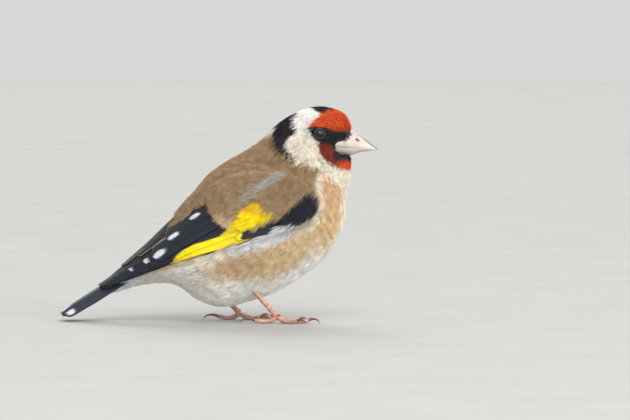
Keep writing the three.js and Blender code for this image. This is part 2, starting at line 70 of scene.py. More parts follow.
# The body in side view: a point of the back line, a point of the breast line, and the half
# breadths near the back, in the middle and near the breast
BODY = np.array([
    [46.1, 61.9, 46.1, 61.7, 0.1, 0.1, 0.1],  # between the mandibles
    [46.1, 66.9, 45.9, 57.1, 3.4, 3.0, 2.8],  # bill base
    [44.9, 70.4, 46.0, 55.5, 6.0, 4.6, 4.4],  # forehead and chin
    [42.4, 73.0, 46.1, 53.3, 8.8, 6.2, 6.0],
    [38.6, 74.4, 46.1, 50.5, 10.8, 8.0, 7.4],
    [34.2, 74.8, 45.9, 47.3, 12.2, 9.6, 8.6],  # crown and throat
    [29.3, 73.7, 45.0, 44.2, 12.8, 10.8, 9.8],
    [24.5, 71.5, 44.3, 40.4, 12.8, 12.2, 11.4],  # nape
    [19.8, 68.0, 44.0, 35.9, 13.0, 14.2, 13.4],
    [15.2, 63.1, 41.6, 29.3, 14.4, 16.2, 15.0],  # neck and upper breast
    [9.7, 59.2, 36.6, 21.9, 16.6, 17.4, 17.2],
    [2.8, 55.2, 29.3, 16.0, 17.8, 18.6, 18.4],  # mantle and breast
    [-3.8, 50.4, 20.7, 10.7, 18.0, 19.0, 18.8],
    [-9.0, 43.8, 11.0, 7.2, 16.8, 18.2, 18.0],  # back and belly
    [-13.5, 37.6, 1.4, 5.2, 16.0, 17.6, 16.4],
    [-18.3, 31.7, -6.6, 7.4, 13.0, 14.2, 13.0],  # rump
    [-23.5, 25.5, -14.1, 12.6, 10.0, 10.4, 9.0],
    [-28.3, 20.7, -21.7, 13.3, 7.4, 7.6, 6.4],
    [-33.1, 16.2, -29.0, 12.1, 5.6, 5.6, 4.6],  # under-tail coverts
    [-37.6, 12.4, -35.5, 10.0, 4.0, 3.8, 3.2],
    [-40.4, 9.9, -40.4, 9.7, 0.1, 0.1, 0.1],
])
# Behind the rump the folded wings stand away from the body and pass over the tail
FOLD_FROM = 15
FOLD_REAR = np.array([
    [-18.3, 32.8, -6.6, 7.4, 13.6, 14.6, 13.4],
    [-23.5, 27.6, -14.1, 12.8, 11.2, 11.6, 10.4],
    [-28.3, 23.3, -21.7, 13.5, 9.4, 9.8, 8.6],
    [-33.1, 19.1, -29.0, 12.1, 8.2, 8.4, 7.4],
    [-37.6, 15.2, -35.2, 9.3, 7.2, 7.2, 6.4],
    [-41.8, 12.1, -41.1, 7.2, 6.2, 6.2, 5.6],
])


def side_view(points):
    """Where the photo shows points of the near side, or of the far side mirrored, in its plane."""
    shift = LEAN * np.abs(points[..., 1])
    return points[..., 0] - shift, points[..., 2] - shift


# Colours, as they would be on a screen, from 0 to 255
BROWN = (157, 132, 101)
WARM_BROWN = (150, 116, 78)
GREY_BROWN = (172, 170, 160)
PALE_BROWN = (205, 182, 150)
BUFF = (206, 162, 108)
TAN = (192, 160, 116)
PALE_TAN = (216, 190, 146)
CREAM = (230, 223, 206)
WHITE = (244, 243, 239)
COOL_WHITE = (220, 224, 230)
RED = (224, 66, 26)
DEEP_RED = (142, 32, 20)
BLACK = (20, 22, 28)
BLUE_BLACK = (30, 34, 45)
SLATE = (50, 56, 69)
HORN_PINK = (201, 189, 184)
HORN_IVORY = (214, 204, 190)
MOUTH_SHADE_GREY = (140, 132, 136)
HORN_DARK = (92, 86, 78)
YELLOW = (255, 230, 4)
ORANGE_YELLOW = (232, 170, 30)


def linear(colour):
    """A screen colour as the linear light that a shader takes."""
    c = np.array(colour, float) / 255
    return np.where(c <= 0.04045, c / 12.92, ((c + 0.055) / 1.055) ** 2.4)


# Markings in side view, as pixels of the photo. Those of the head run right over its crown and
# under its chin.
UNDERPARTS = [
    (362, 150), (352, 170), (330, 172), (318, 174), (315, 184), (318, 194), (321, 203),
    (317, 213), (309, 222), (298, 227), (285, 226), (275, 228), (262, 236), (247, 242),
    (230, 247), (200, 257), (176, 263), (150, 270), (130, 276), (112, 281), (96, 290), (96, 320),
    (250, 335), (420, 300), (420, 150),
]
CHEEK = [
    (294, 111), (291, 122), (293, 132), (286, 140), (284.5, 146), (287, 151.5), (296, 159.5),
    (306, 164), (316, 169), (324, 173), (331, 178), (338, 184), (346, 191), (362, 190),
    (362, 150), (330, 104),
]
NAPE_BLACK = [
    (290, 104), (284, 118), (277, 126), (273, 133), (273, 140), (276, 147), (281, 153),
    (288, 158), (297, 161.5), (294, 157), (290, 151.5), (287.5, 146), (288.5, 140), (293, 135),
    (297.5, 131.5), (294.5, 126), (294, 120), (298, 112), (304, 104),
]
CROWN_BLACK = [
    (296, 98), (300, 107.4), (308, 107.6), (313, 108.2), (317, 111.5), (321, 113.5), (326, 111),
    (334, 109.3), (343, 105), (330, 96),
]
RED_FACE = [
    (321, 112.5), (319.5, 117), (315, 121), (310.5, 124.5), (309.5, 128), (318, 128),
    (324, 128.5), (330, 131), (338, 133), (347, 134), (358, 130), (352, 112), (342, 104),
    (334, 105), (325, 108),
]
RED_CHIN = [
    (319.5, 141), (319, 147), (321.5, 154), (326.5, 160), (332, 164), (338, 167), (344, 169),
    (349, 169.5), (356, 168), (356, 158), (338, 158), (334, 152), (332, 144), (325, 142),
]
LORE = [
    (308.5, 127.5), (310, 134), (314.5, 139.5), (322, 143), (331, 144.5), (333.5, 149),
    (334, 156), (337, 160), (345, 161), (356, 159.5), (362, 150), (358, 132), (349, 131.5),
    (346, 132.5), (337, 131.5), (329, 129), (323, 127), (316, 126.5),
]
HORN = [
    (358, 129), (350.5, 132), (347.5, 138), (344.5, 143.5), (341.5, 146.5), (341.2, 150),
    (341.4, 154), (345, 155.2), (356, 155.6),
]
YELLOW_COVERTS = [
    (229, 232), (235, 222), (238, 216), (243, 210), (251, 204.5), (259, 203), (263, 207),
    (266, 212), (275, 215), (272, 219), (262, 223.5), (252, 227), (244, 231), (236, 234),
]
CARPAL_BLACK = [
    (281, 219), (290, 209), (297, 203), (303, 198), (308, 192.5), (313, 192), (318, 195.5),
    (320.5, 203), (317, 213), (309, 221), (298, 225.5), (287, 224.5), (279, 226),
]
# Soft patches over the whole body, laid one over another: centre, half length and half width in
# pixels with the slope in degrees rising ahead, colour, strength. An outline has no form.
WASHES = [
    (UNDERPARTS, None, CREAM, 1.0),
    ((303, 268), (48, 15, 38), WHITE, 0.9),
    ((240, 292), (52, 12, 8), WHITE, 0.9),
    ((200, 272), (46, 9, 14), WHITE, 0.7),
    ((152, 270), (42, 3.5, 13), PALE_TAN, 0.7),
    ((122, 286), (30, 6, 24), COOL_WHITE, 1.0),
    ((256, 262), (46, 12, 12), TAN, 0.85),
    ((292, 250), (36, 13, 42), PALE_TAN, 0.9),
    ((332, 200), (38, 12, 82), BUFF, 0.8),
    ((327, 228), (20, 13, 60), PALE_TAN, 0.8),
    ((270, 237), (34, 7, 20), COOL_WHITE, 0.85),
    ((317, 212), (16, 5, 70), CREAM, 0.8),
]
# Patches that lie under those
BACK_WASHES = [
    ((275, 178), (20, 4, 33), GREY_BROWN, 1.0),
    ((252, 193), (16, 5, 40), GREY_BROWN, 0.5),
    ((229, 223), (13, 5, -38), PALE_BROWN, 1.0),
    ((271, 131), (5, 6, 60), CREAM, 0.9),
    ((290, 168), (22, 7, -20), WARM_BROWN, 0.6),
]
# The part of the folded wing that no small feather covers
OPEN_WING = [
    (90, 285), (104, 262), (130, 236), (160, 205), (183, 207), (177, 221), (168, 234.5),
    (181, 221.5), (190, 212.5), (200, 206), (208, 203.5), (213, 207), (214.5, 214), (219, 220.5),
    (226, 226), (233, 227.5), (238, 228), (243, 228.5), (252, 226), (262, 222.5), (272, 219),
    (282, 220), (281, 227), (276, 230), (264, 237), (254, 240.5), (247, 242), (230, 246.5),
    (200, 256), (176, 262.5), (150, 269.5), (130, 275.5), (112, 281), (98, 288),
]
# The whole folded wing, over whose edges the coat rises
WING_BED = [
    (94, 292), (118, 264), (146, 238), (172, 211), (196, 193), (232, 176), (272, 170), (305, 178),
    (322, 192), (322, 210), (310, 224), (286, 233), (247, 244), (200, 259), (130, 279),
]
YELLOW_BAR = [
    (174.5, 263), (176, 259.5), (179, 256), (186, 250.5), (196, 245.5), (210, 241), (222, 236.5),
    (228, 231), (236, 222), (250, 215), (256, 224), (244.5, 231), (241.5, 238), (250, 241),
    (230, 247), (200, 256.5),
]
# Markings of the body, laid one over another: outline, softness of its edge in millimetres,
# colour, strength, and fades: the axis, where each starts and its run
MARKINGS = [
    (None, 0, CREAM, 0.85, [("y", 7.0, -4), ("x", 30, 6), ("z", 56, -4)]),  # middle of the breast
    (None, 0, WHITE, 0.8, [("z", 9.0, -6), ("x", -30, 10)]),  # underside
    (YELLOW_COVERTS, 1.3, YELLOW, 1.0, []),
    (YELLOW_COVERTS, 1.3, ORANGE_YELLOW, 0.8, [("z", 35, 6)]),
    (CARPAL_BLACK, 0.8, BLUE_BLACK, 1.0, []),
    (CHEEK, 0.8, CREAM, 1.0, []),
    (CHEEK, 0.8, WHITE, 1.0, [("z", 62, 6)]),
    (NAPE_BLACK, 0.5, BLACK, 1.0, []),
    (RED_FACE, 0.5, RED, 1.0, []),
    (RED_CHIN, 0.5, RED, 1.0, []),
    (RED_FACE, 0.5, DEEP_RED, 1.0, [("z", 67.5, -2.5)]),
    (RED_CHIN, 0.5, DEEP_RED, 1.0, [("x", 43.0, -2.5)]),
    (CROWN_BLACK, 0.5, BLACK, 1.0, []),
    (LORE, 0.6, BLACK, 1.0, []),
]
WASH_SOFTNESS = 2.0
WASH_REACH = 1.6  # of an oval patch, in its half lengths, to where it has faded away
FIND_STEPS = 30  # halvings of the stations that find a point


def spline(rows, t):
    """A smooth curve through rows, t running from 0 to the number of rows less 1."""
    rows = np.asarray(rows, float)
    ends = np.vstack([2 * rows[0] - rows[1], rows, 2 * rows[-1] - rows[-2]])
    t = np.clip(np.asarray(t, float), 0, len(rows) - 1)
    i = np.minimum(t.astype(int), len(rows) - 2)
    f = (t - i)[..., None]
    before, here, after, beyond = (ends[i + k] for k in range(4))
    leave, arrive = (after - before) / 2, (beyond - here) / 2
    square = 3 * (after - here) - 2 * leave - arrive
    cube = 2 * (here - after) + leave + arrive
    return here + leave * f + square * f**2 + cube * f**3


def unit(v):
    """Vectors of length 1 the same way."""
    return v / np.maximum(np.linalg.norm(v, axis=-1, keepdims=True), 1e-9)


def smooth(x):
    """A share from 0 to 1 that leaves and arrives gently."""
    x = np.clip(x, 0, 1)
    return x * x * (3 - 2 * x)


def fade(value, start, run):
    """From 0 where a value is at start to 1 where it has gone on by run, which may be below 0."""
    return smooth((value - start) / run)


class Loft:
    """A surface through stations. Its left half has y above 0; t counts the stations, and the
    angle goes from the back line, 0, down the side to the breast line, pi."""

    def __init__(self, stations):
        self.stations = stations
        self.last = len(stations) - 1

    def point(self, t, angle):
        rows = spline(self.stations, t)
        q = np.cos(angle)
        high, middle, low = rows[..., 4], rows[..., 5], rows[..., 6]
        breadth = middle + (high - low) / 2 * q + ((high + low) / 2 - middle) * q * q
        back, breast = rows[..., 0:2], rows[..., 2:4]
        flat = (back + breast) / 2 + (back - breast) / 2 * q[..., None]
        breadth = breadth * beside_bill(flat[..., 0], flat[..., 1])
        return np.stack([flat[..., 0], breadth * np.sin(angle), flat[..., 1]], -1)

    def slopes(self, t, angle, step=0.02):
        """How the surface runs for one more station, and for one more radian."""
        behind = self.point(np.minimum(t + step, self.last), angle)
        rearward = behind - self.point(np.maximum(t - step, 0), angle)
        down = self.point(t, angle + step) - self.point(t, angle - step)
        return rearward / (2 * step), down / (2 * step)

    def normal(self, t, angle):
        rearward, down = self.slopes(t, angle)
        return unit(np.cross(down, rearward))

    def find(self, x, z):
        """The station and angle that side view shows at x, z."""
        front, rear = np.zeros_like(x), np.full_like(x, self.last)
        for _ in range(FIND_STEPS):
            t = (front + rear) / 2
            rows = spline(self.stations[:, :4], t)
            along_x, along_z = rows[..., 2] - rows[..., 0], rows[..., 3] - rows[..., 1]
            behind = along_x * (z - rows[..., 1]) - along_z * (x - rows[..., 0]) < 0
            front, rear = np.where(behind, t, front), np.where(behind, rear, t)
        rows = spline(self.stations[:, :4], front)
        half = (rows[..., 0:2] - rows[..., 2:4]) / 2
        centre = (rows[..., 0:2] + rows[..., 2:4]) / 2
        q = (x - centre[..., 0]) * half[..., 0] + (z - centre[..., 1]) * half[..., 1]
        q = q / (half**2).sum(-1)
        return front, np.arccos(np.clip(q, -1, 1))

    def find_seen(self, x, z):
        """The station and angle that the photo shows at x, z of its plane."""
        t, angle = self.find(x, z)
        for _ in range(2):
            shift = LEAN * self.point(t, angle)[..., 1]
            t, angle = self.find(x + shift, z + shift)
        return t, angle


# Beside the bill the face narrows by a share, so that the horn shows back to the mouth's corner
GAPE_X, GAPE_Z = 42.0, 60.2
GAPE_RADIUS = 5.0
GAPE_SHARE = 0.52


def beside_bill(x, z):
    """Share of its breadth that the body keeps."""
    return 1 - GAPE_SHARE * np.exp(-((x - GAPE_X) ** 2 + (z - GAPE_Z) ** 2) / GAPE_RADIUS**2)


body = Loft(BODY)
fold = Loft(np.vstack([BODY[:FOLD_FROM], FOLD_REAR]))


def depth_inside(pixels, x, z):
    """How far points of the side view lie inside an outline, in millimetres, below 0 outside it."""
    outline = from_photo(pixels)
    p = np.stack([x, z], -1)
    inside = np.zeros(x.shape, bool)
    nearest = np.full(x.shape, 1e9)
    for a, b in zip(outline, np.roll(outline, -1, 0)):
        crosses = (a[1] > z) != (b[1] > z)
        where = a[0] + (z - a[1]) / (b[1] - a[1] if b[1] != a[1] else 1e-9) * (b[0] - a[0])
        inside ^= crosses & (x < where)
        edge = b - a
        share = np.clip(((p - a) @ edge) / (edge @ edge), 0, 1)
        nearest = np.minimum(nearest, np.linalg.norm(p - a - share[..., None] * edge, axis=-1))
    return np.where(inside, nearest, -nearest)


def within(outline, x, z, softness):
    """From 0 outside an outline of the side view to 1 inside it, with a soft edge."""
    return smooth(0.5 + depth_inside(outline, x, z) / softness)


def paint(colours, amount, colour):
    """Colours with another laid over them, amount from 0 to 1."""
    return colours + np.clip(amount, 0, 1)[..., None] * (linear(colour) - colours)


def wash(colours, x, z, place, form, colour, strength):
    """Colours with a soft patch laid over them: an outline, or an oval with the form given."""
    if form is None:
        return paint(colours, strength * within(place, x, z, WASH_SOFTNESS), colour)
    (long, wide, slope), (cx, cz) = form, from_photo(place)
    c, s = math.cos(math.radians(slope)), math.sin(math.radians(slope))
    u = ((x - cx) * c + (z - cz) * s) / (long * MM_PER_PIXEL)
    v = ((z - cz) * c - (x - cx) * s) / (wide * MM_PER_PIXEL)
    return paint(colours, strength * smooth(WASH_REACH - np.hypot(u, v)), colour)


def plumage(points):
    """The colour of the small feathers at points of the body."""
    x, z = side_view(points)
    places = {"x": x, "y": np.abs(points[..., 1]), "z": z}
    colours = np.broadcast_to(linear(BROWN), points.shape)
    for place, form, colour, strength in BACK_WASHES + WASHES:
        colours = wash(colours, x, z, place, form, colour, strength)
    for outline, softness, colour, strength, fades in MARKINGS:
        amount = within(outline, x, z, softness) if outline else 1
        for axis, start, run in fades:
            amount = amount * fade(places[axis], start, run)
        colours = paint(colours, amount * strength, colour)
    return colours


# Building meshes


def template(bm):
    """The corners and faces of a small shape, which many copies share. All its faces have the same
    number of corners."""
    bm.verts.index_update()
    corners = np.array([v.co for v in bm.verts])
    faces = np.array([[v.index for v in f.verts] for f in bm.faces])
    bm.free()
    return corners, faces


def barb_template():
    """A thin three-sided spike along Z from 0 to 1, cut at the levels of a barb."""
    bm = bmesh.new()
    bmesh.ops.create_cone(bm, cap_ends=True, segments=3, radius1=1, radius2=0, depth=1)
    bmesh.ops.translate(bm, verts=bm.verts, vec=(0, 0, 0.5))
    for height in BARB_LEVELS[1:-1]:
        geometry = bm.verts[:] + bm.edges[:] + bm.faces[:]
        bmesh.ops.bisect_plane(bm, geom=geometry, plane_co=(0, 0, height), plane_no=(0, 0, 1))
    bmesh.ops.remove_doubles(bm, verts=bm.verts, dist=1e-6)
    bmesh.ops.triangulate(bm, faces=bm.faces)
    bmesh.ops.recalc_face_normals(bm, faces=bm.faces)
    return template(bm)


def vane_template(across, along):
    """A flat closed blade: x from -1 to 1 across, y from 0 to 1 along, z 0 below and 1 on top."""
    bm = bmesh.new()
    for height in (0, 1):
        made = bmesh.ops.create_grid(bm, x_segments=across, y_segments=along, size=1)["verts"]
        bmesh.ops.scale(bm, verts=made, vec=(1, 0.5, 1))
        bmesh.ops.translate(bm, verts=made, vec=(0, 0.5, height))
    bmesh.ops.bridge_loops(bm, edges=[e for e in bm.edges if e.is_boundary])
    bmesh.ops.recalc_face_normals(bm, faces=bm.faces)
    return template(bm)


def copied(shape, count):
    """The faces of many copies of a small shape, whose corners follow one another."""
    corners, faces = shape
    first = np.arange(count) * len(corners)
    return (faces[None] + first[:, None, None]).reshape(-1, faces.shape[1])


def tint_points(mesh, colours):
    """Keeps a colour at each point of a mesh, for its material."""
    tint = mesh.attributes.new("tint", "FLOAT_COLOR", "POINT")
    opaque = np.hstack([colours, np.ones((len(colours), 1))])
    tint.data.foreach_set("color", opaque.astype(np.float32).ravel())


def placed(name, mesh, material):
    """A new object in the scene for a mesh."""
    piece = bpy.data.objects.new(name, mesh)
    bpy.context.scene.collection.objects.link(piece)
    mesh.materials.append(material)
    return piece


def declare(piece, nodes=()):
    """Gives a piece its body, and hides the nodes that it takes the place of."""
    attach(piece, "root")
    if nodes:
        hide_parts(*nodes)


def mesh_piece(name, points, faces, colours, material, nodes=(), uv=None):
    """A piece from arrays, in millimetres, with a colour at each point. One with a map has flat
    faces."""
    mesh = bpy.data.meshes.new(name)
    mesh.vertices.add(len(points))
    mesh.vertices.foreach_set("co", (points * MM).astype(np.float32).ravel())
    count, sides = faces.shape
    mesh.loops.add(count * sides)
    mesh.loops.foreach_set("vertex_index", faces.astype(np.int32).ravel())
    mesh.polygons.add(count)
    mesh.polygons.foreach_set("loop_start", np.arange(0, count * sides, sides, dtype=np.int32))
    mesh.polygons.foreach_set("use_smooth", np.full(count, uv is None))
    mesh.update(calc_edges=True)
    tint_points(mesh, colours)
    if uv is not None:
        layer = mesh.uv_layers.new(name="OFBake")
        layer.data.foreach_set("uv", uv[faces.ravel()].astype(np.float32).ravel())
    declare(placed(name, mesh, material), nodes)


def finish_piece(bm, name, material, nodes=()):
    """A piece from a bmesh in millimetres, which takes the place of nodes."""
    bmesh.ops.remove_doubles(bm, verts=bm.verts, dist=1e-5)
    bmesh.ops.recalc_face_normals(bm, faces=bm.faces)
    bmesh.ops.scale(bm, verts=bm.verts, vec=(MM, MM, MM))
    mesh = bpy.data.meshes.new(name)
    bm.to_mesh(mesh)
    bm.free()
    mesh.polygons.foreach_set("use_smooth", [True] * len(mesh.polygons))
    declare(placed(name, mesh, material), nodes)
    return mesh


def moulded(name, around, rings, place, material, nodes):
    """A ball made into a piece. Place is an array function of the share of the way from pole to
    pole, the angle round the axis, and whether it is a pole, and gives where each corner goes."""
    bm = bmesh.new()
    bmesh.ops.create_uvsphere(bm, u_segments=around, v_segments=rings, radius=1)
    x, y, z = np.array([v.co for v in bm.verts]).T
    along = np.arccos(np.clip(z, -1, 1)) / math.pi
    moved = place(along, np.arctan2(y, x), (along < 1e-6) | (along > 1 - 1e-6))
    for vert, co in zip(bm.verts, moved):
        vert.co = co
    return finish_piece(bm, name, material, nodes)


def corners_of(mesh):
    """The corners of a mesh in millimetres."""
    return np.array([v.co for v in mesh.vertices]) / MM


def mirrored(points, faces, side):
    """The left half's points, or the same on the right side with their faces kept outward."""
    if side == LEFT:
        return points, faces
    return points * (1, -1, 1), faces[:, ::-1]


def wrapped(t, angle, side):
    """A place on the unwrapped skin, each side on its own half of the map."""
    u = 0.03 + 0.94 * t / body.last
    v = 0.5 + side * (0.01 + 0.47 * np.clip(angle, -0.2, math.pi + 0.2) / math.pi)
    return np.stack([u, v], -1)


# The coat

# Small feathers by station: the station, the spacing of the feathers, their length, the width of
# a fan, the barbs in it, the width of a barb and the lift of the tips
FEATHERING = np.array([
    [0.0, 0.66, 1.5, 0.7, 5, 0.13, 0.08],
    [2.0, 0.68, 1.9, 0.9, 6, 0.14, 0.08],
    [4.0, 0.76, 2.6, 1.2, 7, 0.15, 0.10],
    [6.5, 0.95, 3.8, 1.7, 9, 0.17, 0.12],
    [9.0, 1.28, 5.6, 2.6, 10, 0.22, 0.20],
    [12.0, 1.50, 7.5, 3.3, 11, 0.25, 0.25],
    [16.0, 1.45, 8.0, 3.0, 11, 0.24, 0.25],
    [20.0, 1.10, 6.0, 2.2, 7, 0.22, 0.15],
])
SKIN_DEPTH = 1.5  # of the skin below the tips of the coat, on the body
FACE_DEPTH = 0.8
CROWN_SUNK = 0.4
COVER = 2.4  # rise of the feathers that lie over the folded wing
COVER_REAR = 0.45  # share of that rise behind the flank
COVER_SOFTNESS = 3.2
ROOT_STRAYS = 0.4  # how far a root strays, in spacings
ROW_STEP = 0.85  # from row to row, in spacings
FLANK_ANGLE = 1.3
# What the coat leaves bare: the end of the face in the bill, and margins round the rest
BILL_END = dict(from_x=45.4, low=58.2, high=65.6, half=3.2)
EYE_MARGIN = 0.9
HORN_MARGIN = 0.1
WING_MARGIN = 0.2
WING_FRINGE = 0.8  # how far feathers may hang over the open wing
SHORTEST = 0.3  # share of its length below which such a feather is left out
# A fan's width at its root and how much it opens, as shares of its width, and how much shorter and
# lower its outer barbs are
FAN_ROOT, FAN_OPENS = 0.16, 0.34
OUTER_SHORTER = 0.22
FAN_ARCH = 0.12
# A barb at each of its four levels: share of its length, of its width, of the depth of the coat,
# and painted shade, darker at the root deep in the coat and a touch lighter (painted light) at the
# tip
BARB_LEVELS = np.array([0, 0.38, 0.72, 1.0])
BARB_WIDTHS = np.array([0.75, 1.0, 0.8, 0.0])
BARB_DEPTHS = np.array([1.05, 0.42, 0.12, 0.0])
BARB_PAINTED_SHADE = np.array([0.84, 0.95, 1.0, 1.03])
BARB_WIDE, BARB_HIGH = 0.6, 0.3  # of a barb's spike, as shares of its width
BARB = barb_template()
BARB_ON_MAP = 0.0015


def feathering(t):
    """The row of sizes for small feathers at a station."""
    t = np.asarray(t, float)
    return np.stack([np.interp(t, FEATHERING[:, 0], FEATHERING[:, k]) for k in range(1, 7)], -1)


def coat_depth(t):
    """How deep the skin lies below the tips of the coat."""
    return np.interp(t, [0, 3, 8], [FACE_DEPTH * 0.6, FACE_DEPTH, SKIN_DEPTH])


def crown_sunk(t):
    """How much lower the coat of the head lies, so that its loose tips meet the outline."""
    return CROWN_SUNK * fade(t, 2, 2) * fade(t, 9, -2)


def cover(x, z):
    """How much further out the coat lies where it passes over the folded wing."""
    rise = COVER * COVER_REAR + COVER * (1 - COVER_REAR) * fade(x, -10, 12)
    return rise * smooth(0.35 + depth_inside(WING_BED, x, z) / COVER_SOFTNESS)


def feather_roots(rng, rows_from, rows_to):
    """Roots of small feathers in staggered rows over one side, as stations and angles."""
    ts, angles = [], []
    t = rows_from
    fine = np.linspace(0, math.pi, 120)
    while t < rows_to:
        spacing = feathering(t)[0]
        line = body.point(np.full(fine.shape, t), fine)
        run = np.concatenate([[0], np.cumsum(np.linalg.norm(np.diff(line, axis=0), axis=1))])
        count = max(3, int(run[-1] / spacing))
        places = (np.arange(count) + rng.uniform(0, 1)) / count * run[-1]
        places = places + rng.uniform(-ROOT_STRAYS, ROOT_STRAYS, count) * spacing
        angles.append(np.interp(np.clip(places, 0, run[-1]), run, fine))
        rearward, _ = body.slopes(np.array([t]), np.array([FLANK_ANGLE]))
        step = spacing * ROW_STEP / np.linalg.norm(rearward)
        strayed = t + rng.uniform(-ROOT_STRAYS, ROOT_STRAYS, count) * step
        ts.append(np.clip(strayed, 0.02, body.last - 0.02))
        t += step
    return np.concatenate(ts), np.concatenate(angles)


def barbs(spine, normal, width):
    """Corners of a barb along each spine, four points long, and the level of each corner."""
    corners, _ = BARB
    level = np.abs(corners[:, 2][:, None] - BARB_LEVELS).argmin(1)
    around = unit(np.where(level[:, None] == 3, 0, corners[:, :2]))
    sideways = unit(np.cross(normal, unit(np.gradient(spine, axis=1))))
    across = width[:, level] * around[:, 0] * BARB_WIDE
    up = width[:, level] * around[:, 1] * BARB_HIGH
    points = spine[:, level] + sideways[:, level] * across[..., None]
    return points + normal[:, level] * up[..., None], level


def shown_share(t, angle, reach, fringe):
    """The share of each feather, reach stations long, before it gets over the open wing by more
    than its fringe."""
    shares = np.linspace(0, 1, 9)
    along_t = np.minimum(t[:, None] + shares * reach[:, None], body.last)
    path = body.point(along_t, np.repeat(angle[:, None], len(shares), 1))
    over = depth_inside(OPEN_WING, *side_view(path)) > fringe[:, None]
    return np.where(over.any(1), shares[over.argmax(1)], 1.0)


def bare(root):
    """Which roots would lie where no small feather grows: the open wing, the horn and the eye."""
    x, y, z = np.moveaxis(root, -1, 0)
    seen = side_view(root)
    on_wing = depth_inside(OPEN_WING, *seen) >= WING_MARGIN
    bill_end = (x > BILL_END["from_x"]) & (np.abs(y) < BILL_END["half"])
    bill_end &= (z > BILL_END["low"]) & (z < BILL_END["high"])
    eye = np.linalg.norm(root - eye_centre(LEFT), axis=1) < EYE_RADIUS + EYE_MARGIN
    horn = depth_inside(HORN, *seen) > -HORN_MARGIN
    return on_wing | bill_end | eye | horn


def grown_feathers(rng, rows_from, rows_to):
    """The small feathers of one side between two stations: where each is, its sizes and tone, and
    how the body runs there."""
    t, angle = feather_roots(rng, rows_from, rows_to)
    kept = ~bare(body.point(t, angle))
    t, angle = t[kept], angle[kept]
    count = len(t)
    _, length, fan, barbs_in, width, lift = feathering(t).T
    rearward, down = body.slopes(t, angle)
    per_t = np.linalg.norm(rearward, axis=1)
    per_angle = np.maximum(np.linalg.norm(down, axis=1), 0.8)
    heading = rng.normal(0, 0.10, count)
    tone = rng.normal(1.0, 0.055, count)
    length = length * rng.uniform(0.8, 1.15, count)
    shown = shown_share(t, angle, length / per_t, rng.uniform(0.0, WING_FRINGE, count))
    grown = dict(t=t, angle=angle, per_t=per_t, per_angle=per_angle, heading=heading, tone=tone,
                 length=length * shown, fan=fan, barbs=barbs_in, width=width, lift=lift)
    grown = {key: values[shown > SHORTEST] for key, values in grown.items()}
    grown["lift"] = grown["lift"] * rng.uniform(0.2, 1.6, len(grown["lift"]))
    return grown


def varied_reds(rng, colour):
    """Colours in which the red ones, and only those, vary from deep red to orange."""
    red, green = colour[:, 0], colour[:, 1]
    redness = np.clip(1 - 4 * green / np.maximum(red, 1e-3), 0, 1) * smooth(red / 0.3)
    colour[:, 1] *= 1 + redness * rng.uniform(-0.4, 2.2, len(colour))
    colour *= (1 - redness * rng.uniform(0, 0.35, len(colour)))[:, None]
    return colour


def coat(name, side, seed, rows_from, rows_to):
    """Small feathers over one side of the body between two stations, each a fan of barbs."""
    rng = np.random.default_rng(seed)
    feathers = grown_feathers(rng, rows_from, rows_to)
    in_fan = np.maximum(3, np.round(feathers["barbs"]).astype(int))
    own = {key: np.repeat(values, in_fan) for key, values in feathers.items()}
    place = np.concatenate([np.linspace(-1, 1, n) for n in in_fan])
    n = len(place)
    place = place + rng.normal(0, 0.08, n)
    along = own["length"] * (1 - OUTER_SHORTER * place**2) * rng.uniform(0.85, 1.1, n)
    across = own["fan"] * place
    turn = own["heading"] + rng.normal(0, 0.03, n)
    forward = along[:, None] * BARB_LEVELS
    sideways = across[:, None] * (FAN_ROOT + FAN_OPENS * BARB_LEVELS**0.8)
    c, s = np.cos(turn)[:, None], np.sin(turn)[:, None]
    t = own["t"][:, None] + (forward * c - sideways * s) / own["per_t"][:, None]
    angle = own["angle"][:, None] + (forward * s + sideways * c) / own["per_angle"][:, None]
    t = np.minimum(t, body.last - 0.01)
    spine = body.point(t, angle)
    normal = body.normal(t, angle)
    depth = coat_depth(t)
    height = own["lift"][:, None] * BARB_LEVELS**2 - depth * BARB_DEPTHS
    height = height - FAN_ARCH * (place[:, None] ** 2) * depth
    height = height + cover(*side_view(spine)) - crown_sunk(t)
    spine = spine + normal * height[..., None]
    width = own["width"] * rng.uniform(0.8, 1.2, n)
    points, level = barbs(spine, normal, width[:, None] * BARB_WIDTHS)
    seen = np.where((rng.uniform(0, 1, n) < 0.35)[:, None], spine[:, 1], spine[:, 2])
    colour = plumage(seen) * (own["tone"] * rng.normal(1.0, 0.06, n))[:, None]
    colour = varied_reds(rng, colour)
    # Painted shade: each barb is darkened towards its root deep in the coat and lightened a little
    # at its tip
    colours = np.clip(colour[:, None, :] * BARB_PAINTED_SHADE[level][None, :, None], 0, 1)
    patch = np.stack(np.broadcast_arrays(BARB_LEVELS[level][None, :], place[:, None]), -1)
    uv = wrapped(own["t"], own["angle"], side)[:, None, :] + BARB_ON_MAP * patch
    points, faces = mirrored(points.reshape(-1, 3), copied(BARB, n), side)
    mesh_piece(name, points, faces, colours.reshape(-1, 3), material_of("soft_plumage"),
               uv=uv.reshape(-1, 2))


# The eyes

EYE_X, EYE_Z = 35.7, 65.4
EYE_RADIUS = 1.95
EYE_SUNK = 1.2
LID_SHARE = 0.9  # radius of the ring of the lids, in radii of the eye
LID_THICK = 0.2
LID_SUNK = 0.22
LID_BEADS = 22
LID_BEAD_HIGH = 0.05
LID_BOW = 0.10  # how much further out its front and rear lie


def eye_centre(side):
    """The middle of an eye."""
    t, angle = body.find(np.array([EYE_X]), np.array([EYE_Z]))
    centre = (body.point(t, angle) - body.normal(t, angle) * EYE_SUNK)[0]
    return centre * (1, side, 1)


def eye_axis(side):
    """The way that an eye looks."""
    t, angle = body.find(np.array([EYE_X]), np.array([EYE_Z]))
    return body.normal(t, angle)[0] * (1, side, 1)


def facing(direction):
    """The turn that brings +Z to a direction."""
    return Vector((0, 0, 1)).rotation_difference(Vector(direction)).to_matrix()


